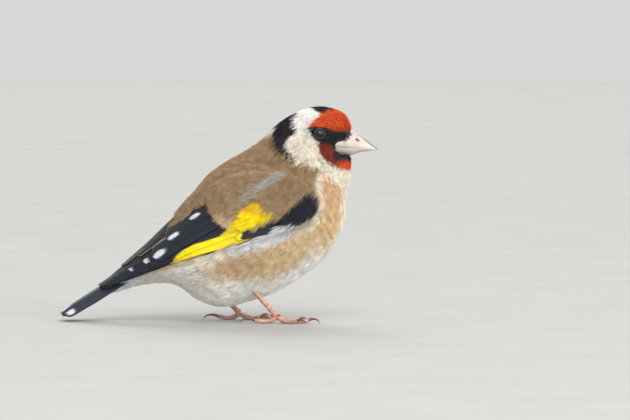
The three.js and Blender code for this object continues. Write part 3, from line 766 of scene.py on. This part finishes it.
def make_eye(word, side):
    """A glossy ball let into the side of the head."""
    bm = bmesh.new()
    bmesh.ops.create_uvsphere(bm, u_segments=48, v_segments=24, radius=EYE_RADIUS)
    bmesh.ops.rotate(bm, verts=bm.verts, matrix=facing(eye_axis(side)))
    bmesh.ops.translate(bm, verts=bm.verts, vec=eye_centre(side))
    finish_piece(bm, f"{word}_eye_ball", material_of("eye_gloss"), [f"{word}_eye"])


def make_lids(word, side):
    """A beaded and slightly bowed ring of bare skin round the eye."""
    bm = bmesh.new()
    made = bmesh.ops.create_circle(bm, segments=10, radius=LID_THICK)["verts"]
    bmesh.ops.translate(bm, verts=made, vec=(EYE_RADIUS * LID_SHARE, 0, 0))
    bmesh.ops.rotate(bm, verts=made, matrix=Matrix.Rotation(math.pi / 2, 3, "X"))
    bmesh.ops.spin(bm, geom=bm.edges[:], cent=(0, 0, 0), axis=(0, 0, 1), angle=2 * math.pi,
                   steps=LID_BEADS * 2, use_merge=True, use_duplicate=False)
    for vert in bm.verts:
        around = math.atan2(vert.co.y, vert.co.x)
        bead = LID_BEAD_HIGH * math.sin(around * LID_BEADS)
        vert.co.z += bead + LID_BOW * math.cos(2 * around)
    bmesh.ops.rotate(bm, verts=bm.verts, matrix=facing(eye_axis(side)))
    out = Vector(eye_centre(side)) + Vector(eye_axis(side)) * (EYE_SUNK - LID_SUNK)
    bmesh.ops.translate(bm, verts=bm.verts, vec=out)
    finish_piece(bm, f"{word}_lids", material_of("lid_skin"))


# The skin

HORN_SINKS = 2.0  # the skin under the base of the bill
# Painted shade: the skin under the coat takes the plumage's colour darkened by this share
SKIN_PAINTED_SHADE = 0.78


def skin_point(along, around, pole):
    """Where the corners of the skin are, which goes from the bill base to the tail."""
    t = along * body.last
    angle = np.where(pole, 0, np.abs(around))
    surface = body.point(t, angle)
    under_horn = HORN_SINKS * smooth(0.3 + depth_inside(HORN, *side_view(surface)))
    depth = coat_depth(t) * np.sin(along * math.pi) ** 0.4 + crown_sunk(t) + under_horn
    points = surface - body.normal(t, angle) * depth[:, None]
    points[:, 1] = np.where(pole, 0, points[:, 1]) * np.where(around >= 0, 1, -1)
    return points


def make_skin():
    """One closed skin under the coat."""
    mesh = moulded("skin", 96, 120, skin_point, material_of("soft_plumage"),
                   ["head", "neck", "torso"])
    # Painted shade: the plumage colour is darkened on the skin that lies deep under the coat
    tint_points(mesh, plumage(corners_of(mesh)) * SKIN_PAINTED_SHADE)


# Flight feathers and coverts

# Tiers of a folded wing, from its deeper ones to those on top: how many feathers, lines of roots
# and tips from the upper feather to the lowest, half widths, height over the flank, and rise of the
# lower edge. White spots have a half length and a half width, by feather. Lines are x and z in side
# view, and on the back they are station and angle.
WING_TIERS = {
    "primaries": dict(
        count=9, roots=[(9.0, 36.5), (11.0, 32.5), (12.0, 29.6)],
        tips=[(-23.4, 22.0), (-30.2, 18.2), (-37.0, 14.6), (-41.4, 12.2)],
        halves=[2.1, 1.9, 1.7], height=0.15, tilt=0.4, spots={1: (1.3, 0.95), 3: (1.1, 0.6)}),
    "inner_primaries": dict(
        count=3, roots=[(13.0, 1.05), (13.0, 0.75), (13.0, 0.45)],
        tips=[(19.6, 1.0), (19.3, 0.6), (18.8, 0.26)],
        halves=[2.4, 2.4, 2.4], height=0.05, tilt=0.2, on_back=True),
    "secondaries": dict(
        count=6, roots=[(7.0, 41.5), (9.5, 37.5), (11.0, 33.0)],
        tips=[(-20.0, 25.4), (-22.6, 21.8), (-23.6, 19.2)],
        halves=[2.6, 2.2, 2.0], height=0.4, tilt=0.4, spots={2: (0.9, 0.6)}),
    "inner_tertials": dict(
        count=3, roots=[(13.4, 0.78), (13.4, 0.5), (13.4, 0.22)],
        tips=[(15.9, 0.78), (17.0, 0.52), (18.0, 0.26)],
        halves=[3.2, 3.2, 3.2], height=0.4, tilt=0.3, on_back=True, pale_edge=0.8),
    "tertials": dict(
        count=3, roots=[(7.5, 44.6), (8.0, 42.2), (8.5, 39.4)],
        tips=[(-9.6, 35.0), (-17.1, 28.0), (-22.2, 22.0)],
        halves=[2.9, 3.5, 3.1], height=0.75, tilt=0.45, pale_edge=0.8,
        spots={0: (2.5, 0.7), 1: (2.7, 0.85), 2: (2.9, 1.1)}),
    "primary_coverts": dict(
        count=4, roots=[(22.0, 35.0), (22.4, 33.8), (22.0, 32.4)],
        tips=[(8.6, 32.4), (7.4, 30.6), (6.4, 29.2)],
        halves=[1.5, 1.4, 1.3], height=0.9, tilt=0.35),
    "greater_coverts": dict(
        count=7, roots=[(14.0, 45.4), (18.5, 41.0), (20.5, 36.0)],
        tips=[(1.0, 41.4), (3.2, 36.8), (7.4, 32.4)],
        halves=[2.2, 2.2, 1.8], height=1.0, tilt=0.4),
}
VANE = vane_template(across=16, along=34)
VANE_THICK = 0.13
SHAFT_WIDE, SHAFT_HIGH = 0.16, 0.16
VANE_ARCH = 0.12  # how much lower the edges of a feather lie than its shaft
VANE_SAG = 0.02  # of its length
FRAY, FRAY_WAVES = 0.012, 61
ROOT_SUNK, ROOT_SUNK_ON_BACK = 0.6, 1.6
TIP_ROUND = 14
SPOT_BELOW = 0.45  # of the middle of a white spot, below the shaft of its feather
YELLOW_SOFTNESS = 0.35
PALE_EDGE = 0.1  # strength of the pale outer edge where a tier states none


def vane_outline(s):
    """Half width of a feather along its length, rounded at the tip."""
    taper = np.interp(s, [0, 0.15, 0.6, 1], [0.55, 0.85, 1.0, 0.92])
    return taper * np.sqrt(np.clip((1 - s) * TIP_ROUND, 0.01, 1))


def vane_thickness(s, across):
    """How thick a feather is, with a raised shaft that dies out towards its tip."""
    shaft = SHAFT_HIGH * np.exp(-((across / SHAFT_WIDE) ** 2)) * (1 - s) ** 0.5
    return VANE_THICK + shaft


def vanes(name, made, side, nodes):
    """One piece from the points and colours of several flight feathers."""
    points, colours = (np.concatenate(parts) for parts in zip(*made))
    points, faces = mirrored(points, copied(VANE, len(made)), side)
    mesh_piece(name, points, faces, colours, material_of("glossy_vanes"), nodes)


def wing_feather(rng, tier, index):
    """Points and colours of one feather of a folded wing."""
    a, s, face = VANE[0].T
    on_back = tier.get("on_back")
    share = index / (tier["count"] - 1)
    root, tip = (spline(tier[line], np.array(share * (len(tier[line]) - 1)))
                 for line in ("roots", "tips"))
    halves = tier["halves"]
    half = np.interp(share * (len(halves) - 1), range(len(halves)), halves)
    length = np.linalg.norm(tip - root)
    run = (tip - root) / length
    down = np.array([run[1], -run[0]])
    down = -down if down[1] > 0 else down
    s = s ** 0.85
    fray = 1 + FRAY * np.sin(s * FRAY_WAVES + rng.uniform(0, 6)) * np.abs(a)
    across = a * half * vane_outline(s) * fray
    if on_back:
        t, angle = root[0] + s * run[0] * length, root[1] + s * run[1] * length
        _, round_body = fold.slopes(t, angle)
        angle = np.maximum(angle + across / np.linalg.norm(round_body, axis=1), 0.01)
        flat = np.stack(side_view(fold.point(t, angle)), -1)
        length = np.linalg.norm(fold.point(root[:1], root[1:]) - fold.point(tip[:1], tip[1:]))
    else:
        lower = across - VANE_SAG * length * np.sin(s * math.pi)
        flat = root + np.outer(s * length, run) + np.outer(lower, down)
        t, angle = fold.find_seen(flat[:, 0], flat[:, 1])
    height = tier["height"] + tier["tilt"] * (1 + a) / 2 - VANE_ARCH * a**2
    height = height + face * vane_thickness(s, across)
    height = height - (ROOT_SUNK_ON_BACK if on_back else ROOT_SUNK) * np.clip(1 - s * 5, 0, 1)
    points = fold.point(t, angle) + fold.normal(t, angle) * height[:, None]
    ground = BLACK if on_back else BLUE_BLACK
    colours = np.broadcast_to(linear(ground), points.shape) * rng.uniform(0.75, 1.2)
    in_band = depth_inside(YELLOW_BAR, flat[:, 0], flat[:, 1]) + rng.normal(0, 0.15)
    yellow = smooth(0.5 + in_band / YELLOW_SOFTNESS)
    colours = paint(colours, yellow, YELLOW)
    pale_edge = fade(a if on_back else -a, 0.88, 0.1) * fade(s, 0.3, 0.3) * (1 - yellow)
    colours = paint(colours, pale_edge * tier.get("pale_edge", PALE_EDGE), PALE_BROWN)
    if index in tier.get("spots", {}):
        long, wide = tier["spots"][index]
        spot = 1 - np.hypot(((1 - s) * length - long) / long, (across - SPOT_BELOW) / wide)
        colours = paint(colours, smooth(spot * 3), COOL_WHITE)
    return points, colours


def make_wing(word, side):
    """All the feathers of one folded wing, tier by tier."""
    rng = np.random.default_rng(11)
    nodes = [f"{word}_wing"]
    for name, tier in WING_TIERS.items():
        made = [wing_feather(rng, tier, index) for index in range(tier["count"])]
        vanes(f"{word}_{name}", made, side, nodes)
        nodes = ()


TAIL_PAIRS = 6
TAIL_ROOT = (-27.0, 19.8)
TAIL_DROOP = math.radians(27.5)
TAIL_SAG = 2.5
TAIL_LOWEST = 0.3
TAIL_LENGTHS = (31.6, 31.2)  # of the middle and the outer feathers
TAIL_HALF = 3.4  # half width of a feather
TAIL_FAN = math.radians(9)  # from each feather to the next
TAIL_LAYER = 0.12
# Radius of the arch that the feathers lie on, and how much it flattens towards the tips
ARCH, ARCH_FLATTENS = 7.0, 0.15
# White near the ends of the outer feathers, and at the tips of the middle ones
TAIL_PATCH = dict(from_tip=2.8, half_length=1.9, bend=0.95, half_bend=0.24)
TAIL_TIP = dict(length=4.2, pairs=3, bend=0.42)


def tail_feather(rng, pair):
    """Points and colours of one feather of the tail's left half, pair 0 being the middle one."""
    a, s, face = VANE[0].T
    length = np.interp(pair, [0, TAIL_PAIRS - 1], TAIL_LENGTHS) + rng.normal(0, 0.2)
    across = a * TAIL_HALF * vane_outline(s)
    bend = TAIL_FAN * pair * (0.55 + 0.45 * s) + 0.10 + across / ARCH
    radius = ARCH - TAIL_LAYER * pair + face * vane_thickness(s, across)
    y = radius * np.sin(bend)
    h = (radius * np.cos(bend) - ARCH) * (1 - ARCH_FLATTENS * s)
    run = s * length - 0.6 * np.clip(a, 0, 1) * s
    x = TAIL_ROOT[0] - run * math.cos(TAIL_DROOP) - h * math.sin(TAIL_DROOP)
    z = TAIL_ROOT[1] - run * math.sin(TAIL_DROOP) + h * math.cos(TAIL_DROOP)
    z = np.maximum(z - TAIL_SAG * s * s * (1 - 0.5 * bend), TAIL_LOWEST)
    points = np.stack([x, y, z], -1)
    colours = np.broadcast_to(linear(SLATE), points.shape) * rng.uniform(0.9, 1.1)
    from_tip = (1 - s) * length
    patch = 1 - np.hypot((from_tip - TAIL_PATCH["from_tip"]) / TAIL_PATCH["half_length"],
                         (bend - TAIL_PATCH["bend"]) / TAIL_PATCH["half_bend"])
    white_tip = np.minimum(TAIL_TIP["length"] - from_tip, 1)
    white_tip = white_tip * (pair < TAIL_TIP["pairs"]) * (bend < TAIL_TIP["bend"])
    return points, paint(colours, smooth(np.maximum(patch * 3, white_tip)), COOL_WHITE)


def make_tail():
    """Both halves of the tail."""
    rng = np.random.default_rng(23)
    for word, side in SIDES.items():
        made = [tail_feather(rng, pair) for pair in range(TAIL_PAIRS)]
        vanes(f"{word}_tail_feathers", made, side, ["tail"] if side == LEFT else ())


# The bill

# x, culmen z, lower edge z, half width, from inside the face to the tip
BILL = np.array([
    [40.2, 66.4, 57.6, 4.4],
    [45.9, 66.2, 57.6, 3.8],
    [48.3, 65.0, 58.4, 2.95],
    [50.7, 63.2, 58.9, 2.2],
    [53.1, 61.3, 59.2, 1.3],
    [55.35, 59.65, 59.5, 0.12],
])
MOUTH = np.array([[40.0, 60.9], [45.0, 60.5], [50.0, 60.2], [55.4, 59.6]])
MOUTH_GAP = 0.035  # half of it
NOSTRIL = (48.2, 62.95)
NOSTRIL_SLOPE = -34
NOSTRIL_LONG, NOSTRIL_HIGH = 1.15, 0.5
NOSTRIL_DENT = 0.16  # share of the half width
MOUTH_HOLLOW = 0.12
CREST_POWER = 0.9  # how round the ridge of a mandible is
LOWER_SHARE = 0.94  # width of the lower mandible, as a share of the upper one's
BRISTLES = 80
BRISTLE_WIDTH = 0.075
BRISTLE_ROOTS = [(349.5, 130), (348, 133), (346, 136), (343.5, 139.5)]


def bill_edge(x, upper):
    """Where the line of the mouth and the far edge of one mandible are at x, and its half width."""
    t = np.interp(x, BILL[:, 0], np.arange(len(BILL)))
    _, top, bottom, half = np.moveaxis(spline(BILL, t), -1, 0)
    mouth = np.interp(x, MOUTH[:, 0], MOUTH[:, 1]) + (MOUTH_GAP if upper else -MOUTH_GAP)
    return mouth, top if upper else bottom, half


def bill_half(name, upper, covered):
    """One mandible: a cone flattened along the mouth, its other side rounded to a ridge."""

    def place(along, around, pole):
        x = BILL[0, 0] + (BILL[-1, 0] - BILL[0, 0]) * along
        mouth, far, half = bill_edge(x, upper)
        crest = np.cos(around)
        end = np.where(pole, 0, 1)
        inward = MOUTH_HOLLOW * np.clip(crest, -1, 0) * half * (1 if upper else -1)
        outward = (far - mouth) * np.clip(crest, 0, 1) ** CREST_POWER
        z = mouth + end * (np.where(crest > 0, outward, 0) + inward)
        y = half * np.sin(around) * end * (1 if upper else LOWER_SHARE)
        if upper:
            y = y * (1 - NOSTRIL_DENT * smooth(nostril_nearness(x, z)))
        return np.stack([x, y, z], -1)

    mesh = moulded(name, 96, 110, place, material_of("bill_horn"), [covered])
    x, _, z = corners_of(mesh).T
    mouth, far, _ = bill_edge(x, upper)
    colours = np.broadcast_to(linear(HORN_PINK), (len(x), 3))
    colours = paint(colours, fade(x, 47, 8) * 0.5, HORN_IVORY)
    # Painted shade: grey along the crease of the mouth near the bill base
    mouth_painted_shade = fade(x, 50, -6) * smooth(1.0 - np.abs(z - mouth))
    colours = paint(colours, mouth_painted_shade * 0.35, MOUTH_SHADE_GREY)
    if upper:
        ridge = smooth((z - far + 0.75) / 0.6) * fade(x, 46, 6)
        colours = paint(colours, ridge * 0.85, HORN_DARK)
        # Painted shade: the hollow of the nostril is painted black
        colours = paint(colours, smooth(nostril_nearness(x, z)), BLACK)
    tint_points(mesh, colours)


def nostril_nearness(x, z):
    """From 1 in the middle of the slanting nostril to 0 at its rim and beyond."""
    slope = math.radians(NOSTRIL_SLOPE)
    u = (x - NOSTRIL[0]) * math.cos(slope) + (z - NOSTRIL[1]) * math.sin(slope)
    v = (z - NOSTRIL[1]) * math.cos(slope) - (x - NOSTRIL[0]) * math.sin(slope)
    return np.clip(1.5 * (1 - np.hypot(u / NOSTRIL_LONG, v / NOSTRIL_HIGH)), 0, 1)


def make_bristles(word, side):
    """Short black bristles that point ahead over the base of the bill."""
    rng = np.random.default_rng(7)
    edge = from_photo(BRISTLE_ROOTS)
    share = rng.uniform(0, 1, BRISTLES) * (len(edge) - 1)
    root = np.stack([np.interp(share, range(len(edge)), edge[:, k]) for k in (0, 1)], -1)
    root = root + rng.normal(0, 0.4, root.shape) - (0.3, 0)
    reach = rng.uniform(0.8, 1.9, BRISTLES)
    slope = rng.normal(-0.45, 0.18, BRISTLES)
    x = root[:, 0, None] + reach[:, None] * BARB_LEVELS
    z = root[:, 1, None] + (reach * slope)[:, None] * BARB_LEVELS
    mouth, far, half = bill_edge(x, True)
    crest = np.clip((z - mouth) / (far - mouth), 0, 0.985) ** (1 / CREST_POWER)
    y = half * np.sqrt(1 - crest**2) + 0.10 + 0.15 * np.sin(BARB_LEVELS * math.pi)
    spine = np.stack([x, y, z], -1)
    normal = np.broadcast_to(unit(np.array([0.2, 1.0, 0.4])), spine.shape)
    width = BRISTLE_WIDTH * BARB_WIDTHS[None, :] * np.ones((BRISTLES, 1))
    points, _ = barbs(spine, normal, width)
    points, faces = mirrored(points.reshape(-1, 3), copied(BARB, BRISTLES), side)
    colours = np.broadcast_to(linear(BLACK), points.shape)
    t, angle = body.find_seen(root[:, 0], root[:, 1])
    uv = np.repeat(wrapped(t, angle, side), len(BARB[0]), axis=0)
    uv = uv + 0.001 * rng.uniform(0, 1, (len(points), 2))
    mesh_piece(f"{word}_bristles", points, faces, colours, material_of("soft_plumage"),
               uv=uv)


# The feet

LEGS = {
    "right": dict(side=RIGHT, heel=(11.0, 9.4, 13.5), foot=(20.8, 8.6, 2.2)),
    "left": dict(side=LEFT, heel=(-3.1, 9.4, 12.4), foot=(6.9, 8.6, 2.2)),
}
TOES = {
    "hind": dict(heading=172, length=8.0, radius=0.85, claw=6.2),
    "middle": dict(heading=4, length=11.6, radius=0.85, claw=4.6),
    "inner": dict(heading=-24, length=8.6, radius=0.78, claw=4.0),
    "outer": dict(heading=32, length=9.2, radius=0.78, claw=4.0),
}
TOE_REST = 0.74  # height of a toe's middle line
TOE_STEPS = [(0.0, 2.1), (0.2, 1.25), (0.38, TOE_REST), (0.7, TOE_REST), (1.0, TOE_REST + 0.5)]
# A claw starts at a place on the path of its toe, rises over it by steps, and has its tip low down
CLAW_FROM = 3.75
CLAW_STEPS = [(0.33, 0.55), (0.68, 0.25)]
CLAW_TIP = (0.94, 0.12)
CLAW_RADIUS, CLAW_TIP_RADIUS = 0.56, 0.03
SHANK_RADIUS = 0.86
KNUCKLE, KNUCKLE_AT = 0.28, 0.97  # its rise, and where it is along the shank
FLOOR_GAP = 0.02


def rod(name, path, radius_at, slot, nodes, rings, around=24, flat=True):
    """A round rod along a smooth path through points, with closed rounded ends. A flat one stays
    above the floor."""
    path = np.asarray(path, float)

    def place(along, turn, pole):
        t = along * (len(path) - 1)
        run = unit(spline(path, t + 0.02) - spline(path, t - 0.02))
        sideways = unit(np.cross(run, (0, 0, 1)))
        upward = np.cross(sideways, run)
        r = radius_at(along, turn) * np.where(pole, 0, 1)
        across, up = (np.cos(turn) * r)[:, None], (np.sin(turn) * r)[:, None]
        points = spline(path, t) + sideways * across + upward * up
        if flat:
            points[:, 2] = np.maximum(points[:, 2], FLOOR_GAP)
        return points

    moulded(name, around, rings, place, material_of(slot), nodes)


def scutes(along, turn, count, depth):
    """The overlapping plates on the upper side of a toe or the front of a shank."""
    phase = along * count % 1
    return 1 + depth * (phase - 0.5) * np.clip(np.sin(turn) + 0.35, 0, 1)


def rounded(along, start, end):
    """From 0 at the ends of a rod to 1 away from them."""
    return np.sqrt(np.clip(along / start, 0, 1)) * np.sqrt(np.clip((1 - along) / end, 0, 1))


def level_step(start, step, height):
    """The point a level step away from start, at a height of its own over the floor."""
    return start * (1, 1, 0) + step + np.array([0, 0, height])


def shank_radius(along, turn):
    """A slender shank, plated in front, that widens where the toes start."""
    knuckle = KNUCKLE * np.exp(-((along - KNUCKLE_AT) / 0.07) ** 2)
    return (SHANK_RADIUS + knuckle) * scutes(along, turn, 9, 0.14) * rounded(along, 0.03, 0.04)


def claw_radius(along, turn):
    """A claw that tapers to its tip, narrower than it is high."""
    taper = CLAW_RADIUS * (1 - along) ** 0.8 + CLAW_TIP_RADIUS
    return taper * (1 - 0.25 * np.abs(np.cos(turn)))


def make_leg(word, leg):
    """A shank, and its toes and claws flat on the floor."""
    flip = np.array([1, leg["side"], 1])
    heel, foot = np.array(leg["heel"]), np.array(leg["foot"])
    shank = [heel, heel * 0.66 + foot * 0.34, heel * 0.33 + foot * 0.67, foot]
    rod(f"{word}_shank_skin", [point * flip for point in shank], shank_radius, "leg_skin",
        [f"{word}_shank"], rings=90, flat=False)
    for name, toe in TOES.items():
        bearing = math.radians(toe["heading"])
        ahead = np.array([math.cos(bearing), leg["side"] * math.sin(bearing), 0])
        path = [level_step(foot * flip, ahead * share * toe["length"], height)
                for share, height in TOE_STEPS]

        def toe_radius(along, turn, toe=toe):
            pads = 1 + 0.10 * np.cos(along * 6 * math.pi) * np.clip(-np.sin(turn), 0, 1)
            tapered = toe["radius"] * (1 - 0.18 * along) * pads
            return tapered * scutes(along, turn, 8, 0.16) * rounded(along, 0.08, 0.10)

        rod(f"{word}_toe_{name}_skin", path, toe_radius, "leg_skin", [f"{word}_toe_{name}"],
            rings=80)
        root = spline(path, np.array(CLAW_FROM))
        hook = [root] + [level_step(root, ahead * share * toe["claw"], root[2] + rise)
                         for share, rise in CLAW_STEPS]
        hook.append(level_step(root, ahead * CLAW_TIP[0] * toe["claw"], CLAW_TIP[1]))
        rod(f"{word}_claw_{name}_horn", hook, claw_radius, "claw_horn",
            [f"{word}_claw_{name}"], rings=30, around=16)


# Materials

EVEN = (1, 1, 1)
PURE = (255, 255, 255)
NOISE_ROUGHNESS = 0.55
# Scale, detail and stretch of a material's grain, the colours at two places of its ramp, how much
# of that lies over the colours of the points, values of the shader, and the strength and height in
# metres of its bumps, which may have a noise of their own
LOOKS = {
    "soft_plumage": dict(
        grain=(420, 3.0, EVEN), ramp=[(0.3, (205, 200, 196)), (0.7, PURE)], over_tint=0.55,
        shader={"Roughness": 0.72, "Specular IOR Level": 0.25, "Sheen Weight": 0.12,
                "Sheen Roughness": 0.5}),
    "glossy_vanes": dict(
        grain=(900, 5.0, (0.25, 1, 1)), ramp=[(0.3, (190, 190, 195)), (0.75, PURE)], over_tint=0.6,
        shader={"Roughness": 0.45, "Specular IOR Level": 0.35},
        bumps=(0.35, 0.0001), bump_noise=(2600, 2.0, (0.3, 1, 1))),
    "bill_horn": dict(
        grain=(700, 4.0, (0.35, 1, 1)), ramp=[(0.3, (226, 218, 214)), (0.7, PURE)], over_tint=0.8,
        shader={"Roughness": 0.38}, bumps=(0.12, 0.0002)),
    "eye_gloss": dict(
        grain=(900, 2.0, EVEN), ramp=[(0.35, (8, 6, 6)), (0.7, (20, 13, 10))],
        shader={"Roughness": 0.05, "Specular IOR Level": 0.5}),
    "lid_skin": dict(
        grain=(1500, 3.0, EVEN), ramp=[(0.35, (30, 31, 36)), (0.7, (62, 65, 72))],
        shader={"Roughness": 0.5}, bumps=(0.4, 0.0001)),
    "leg_skin": dict(
        grain=(800, 4.0, EVEN), ramp=[(0.3, (162, 112, 96)), (0.7, (206, 164, 146))],
        shader={"Roughness": 0.5, "Subsurface Weight": 0.1, "Subsurface Scale": 0.001},
        bumps=(0.35, 0.00015), bump_noise=(2600, 2.0, EVEN)),
    "claw_horn": dict(
        grain=(900, 3.0, (0.3, 1, 1)), ramp=[(0.3, (72, 50, 42)), (0.75, (128, 96, 80))],
        shader={"Roughness": 0.35}),
    "pale_floor": dict(
        grain=(30, 3.0, EVEN), ramp=[(0.3, (168, 168, 166)), (0.7, (173, 173, 171))],
        shader={"Roughness": 0.8}),
}


def node(tree, kind, values=(), links=(), **settings):
    """A shader node, with values and links set by the names or numbers of its inputs."""
    made = tree.nodes.new(kind)
    for key, value in settings.items():
        setattr(made, key, value)
    for key, value in dict(values).items():
        made.inputs[key].default_value = value
    for key, source in dict(links).items():
        tree.links.new(source, made.inputs[key])
    return made


def noise(tree, scale, detail, stretch):
    """A noise that stays with the object, as a socket."""
    coords = node(tree, "ShaderNodeTexCoord").outputs["Object"]
    mapping = node(tree, "ShaderNodeMapping", {"Scale": stretch}, {"Vector": coords})
    values = {"Scale": scale, "Detail": detail, "Roughness": NOISE_ROUGHNESS}
    made = node(tree, "ShaderNodeTexNoise", values, {"Vector": mapping.outputs["Vector"]})
    return made.outputs["Fac"]


@functools.cache
def material_of(name):
    """The material of a name, made from its look the first time that it is asked for."""
    look = LOOKS[name]
    made = bpy.data.materials.new(name)
    made.use_nodes = True
    tree = made.node_tree
    shader = tree.nodes["Principled BSDF"]
    grain = noise(tree, *look["grain"])
    ramp = node(tree, "ShaderNodeValToRGB", links={"Fac": grain})
    for element, (place, colour) in zip(ramp.color_ramp.elements, look["ramp"]):
        element.position = place
        element.color = (*linear(colour), 1)
    colour = ramp.outputs["Color"]
    if "over_tint" in look:
        tint = node(tree, "ShaderNodeAttribute", attribute_name="tint").outputs["Color"]
        colour = node(tree, "ShaderNodeMix", {0: look["over_tint"]}, {6: tint, 7: colour},
                      data_type="RGBA", blend_type="MULTIPLY").outputs[2]
    tree.links.new(colour, shader.inputs["Base Color"])
    for key, value in look["shader"].items():
        shader.inputs[key].default_value = value
    if "bumps" in look:
        strength, height = look["bumps"]
        bumps = noise(tree, *look["bump_noise"]) if "bump_noise" in look else grain
        bump = node(tree, "ShaderNodeBump", {"Strength": strength, "Distance": height},
                    {"Height": bumps})
        tree.links.new(bump.outputs["Normal"], shader.inputs["Normal"])
    return made


# The stage: camera, floor and lights

FLOOR_SIZE = 2.6  # half of it, in metres
LIT_POINT = (0, 0, 0.04)
# Place and size in metres, power in watts, colour
LIGHTS = {
    "key": ((0.8, -2.4, 2.8), 2.2, 92.0, (1.0, 0.97, 0.92)),
    "low": ((0.2, -2.6, 0.4), 2.4, 26.0, (1, 1, 1)),
    "fill": ((3.0, -1.9, 1.1), 1.8, 55.0, (1, 1, 1)),
    "rim": ((-0.3, 2.9, 2.6), 2.4, 70.0, (1, 1, 1)),
}


def make_camera():
    """A camera that frames the bird as the photo does."""
    centre = from_photo([CENTRE_PIXEL])[0] * MM
    target = Vector((centre[0], 0, centre[1]))
    level = math.cos(CAMERA_RISE)
    away = Vector((math.sin(CAMERA_TURN) * level, -math.cos(CAMERA_TURN) * level,
                   math.sin(CAMERA_RISE)))
    data = bpy.data.cameras.new("camera")
    camera = bpy.data.objects.new("camera", data)
    bpy.context.scene.collection.objects.link(camera)
    camera.location = target + away * CAMERA_DISTANCE
    camera.rotation_euler = away.to_track_quat("Z", "Y").to_euler()
    data.sensor_width = SENSOR_WIDTH
    data.lens = SENSOR_WIDTH * CAMERA_DISTANCE / (PHOTO[0] * MM_PER_PIXEL * MM)
    data.clip_start, data.clip_end = 0.05, 50
    bpy.context.scene.camera = camera


def area_light(name, place, size, power, colour):
    """A square light that looks at the middle of the bird."""
    data = bpy.data.lights.new(name, "AREA")
    data.size, data.energy, data.color = size, power, colour
    lamp = bpy.data.objects.new(name, data)
    bpy.context.scene.collection.objects.link(lamp)
    lamp.location = place
    lamp.rotation_euler = (Vector(place) - Vector(LIT_POINT)).to_track_quat("Z", "Y").to_euler()


def make_stage():
    """The floor, the light from all round, and the lamps."""
    bm = bmesh.new()
    bmesh.ops.create_grid(bm, x_segments=2, y_segments=2, size=FLOOR_SIZE)
    mesh = bpy.data.meshes.new("floor")
    bm.to_mesh(mesh)
    bm.free()
    floor = placed("floor", mesh, material_of("pale_floor"))
    world = bpy.data.worlds.new("studio")
    world.use_nodes = True
    background = world.node_tree.nodes["Background"]
    background.inputs["Color"].default_value = (0.80, 0.80, 0.795, 1)
    background.inputs["Strength"].default_value = 0.85
    bpy.context.scene.world = world
    for name, (place, size, power, colour) in LIGHTS.items():
        area_light(name, place, size, power, colour)


bpy.context.scene.view_settings.view_transform = "Standard"
make_camera()
make_stage()
make_skin()
for word, side in SIDES.items():
    make_eye(word, side)
    make_lids(word, side)
    make_wing(word, side)
    make_bristles(word, side)
bill_half("upper_bill", True, "upper_mandible")
bill_half("lower_bill", False, "lower_mandible")
make_tail()
for word, leg in LEGS.items():
    make_leg(word, leg)
# The coat is parted by station, to keep each piece small
COAT_PIECES = {
    "head_coat": ("crown_plumage", 0.3, 5.6),
    "neck_coat": ("crown_plumage", 5.6, 7.8),
    "breast_coat": ("body_plumage", 7.8, 9.8),
    "belly_coat": ("body_plumage", 9.8, 12.0),
    "rump_coat": ("body_plumage", 12.0, 19.7),
}
for index, (name, (slot, rows_from, rows_to)) in enumerate(COAT_PIECES.items()):
    for word, side in SIDES.items():
        coat(f"{word}_{name}", side, 100 + index * 2 + (side > 0), rows_from, rows_to)
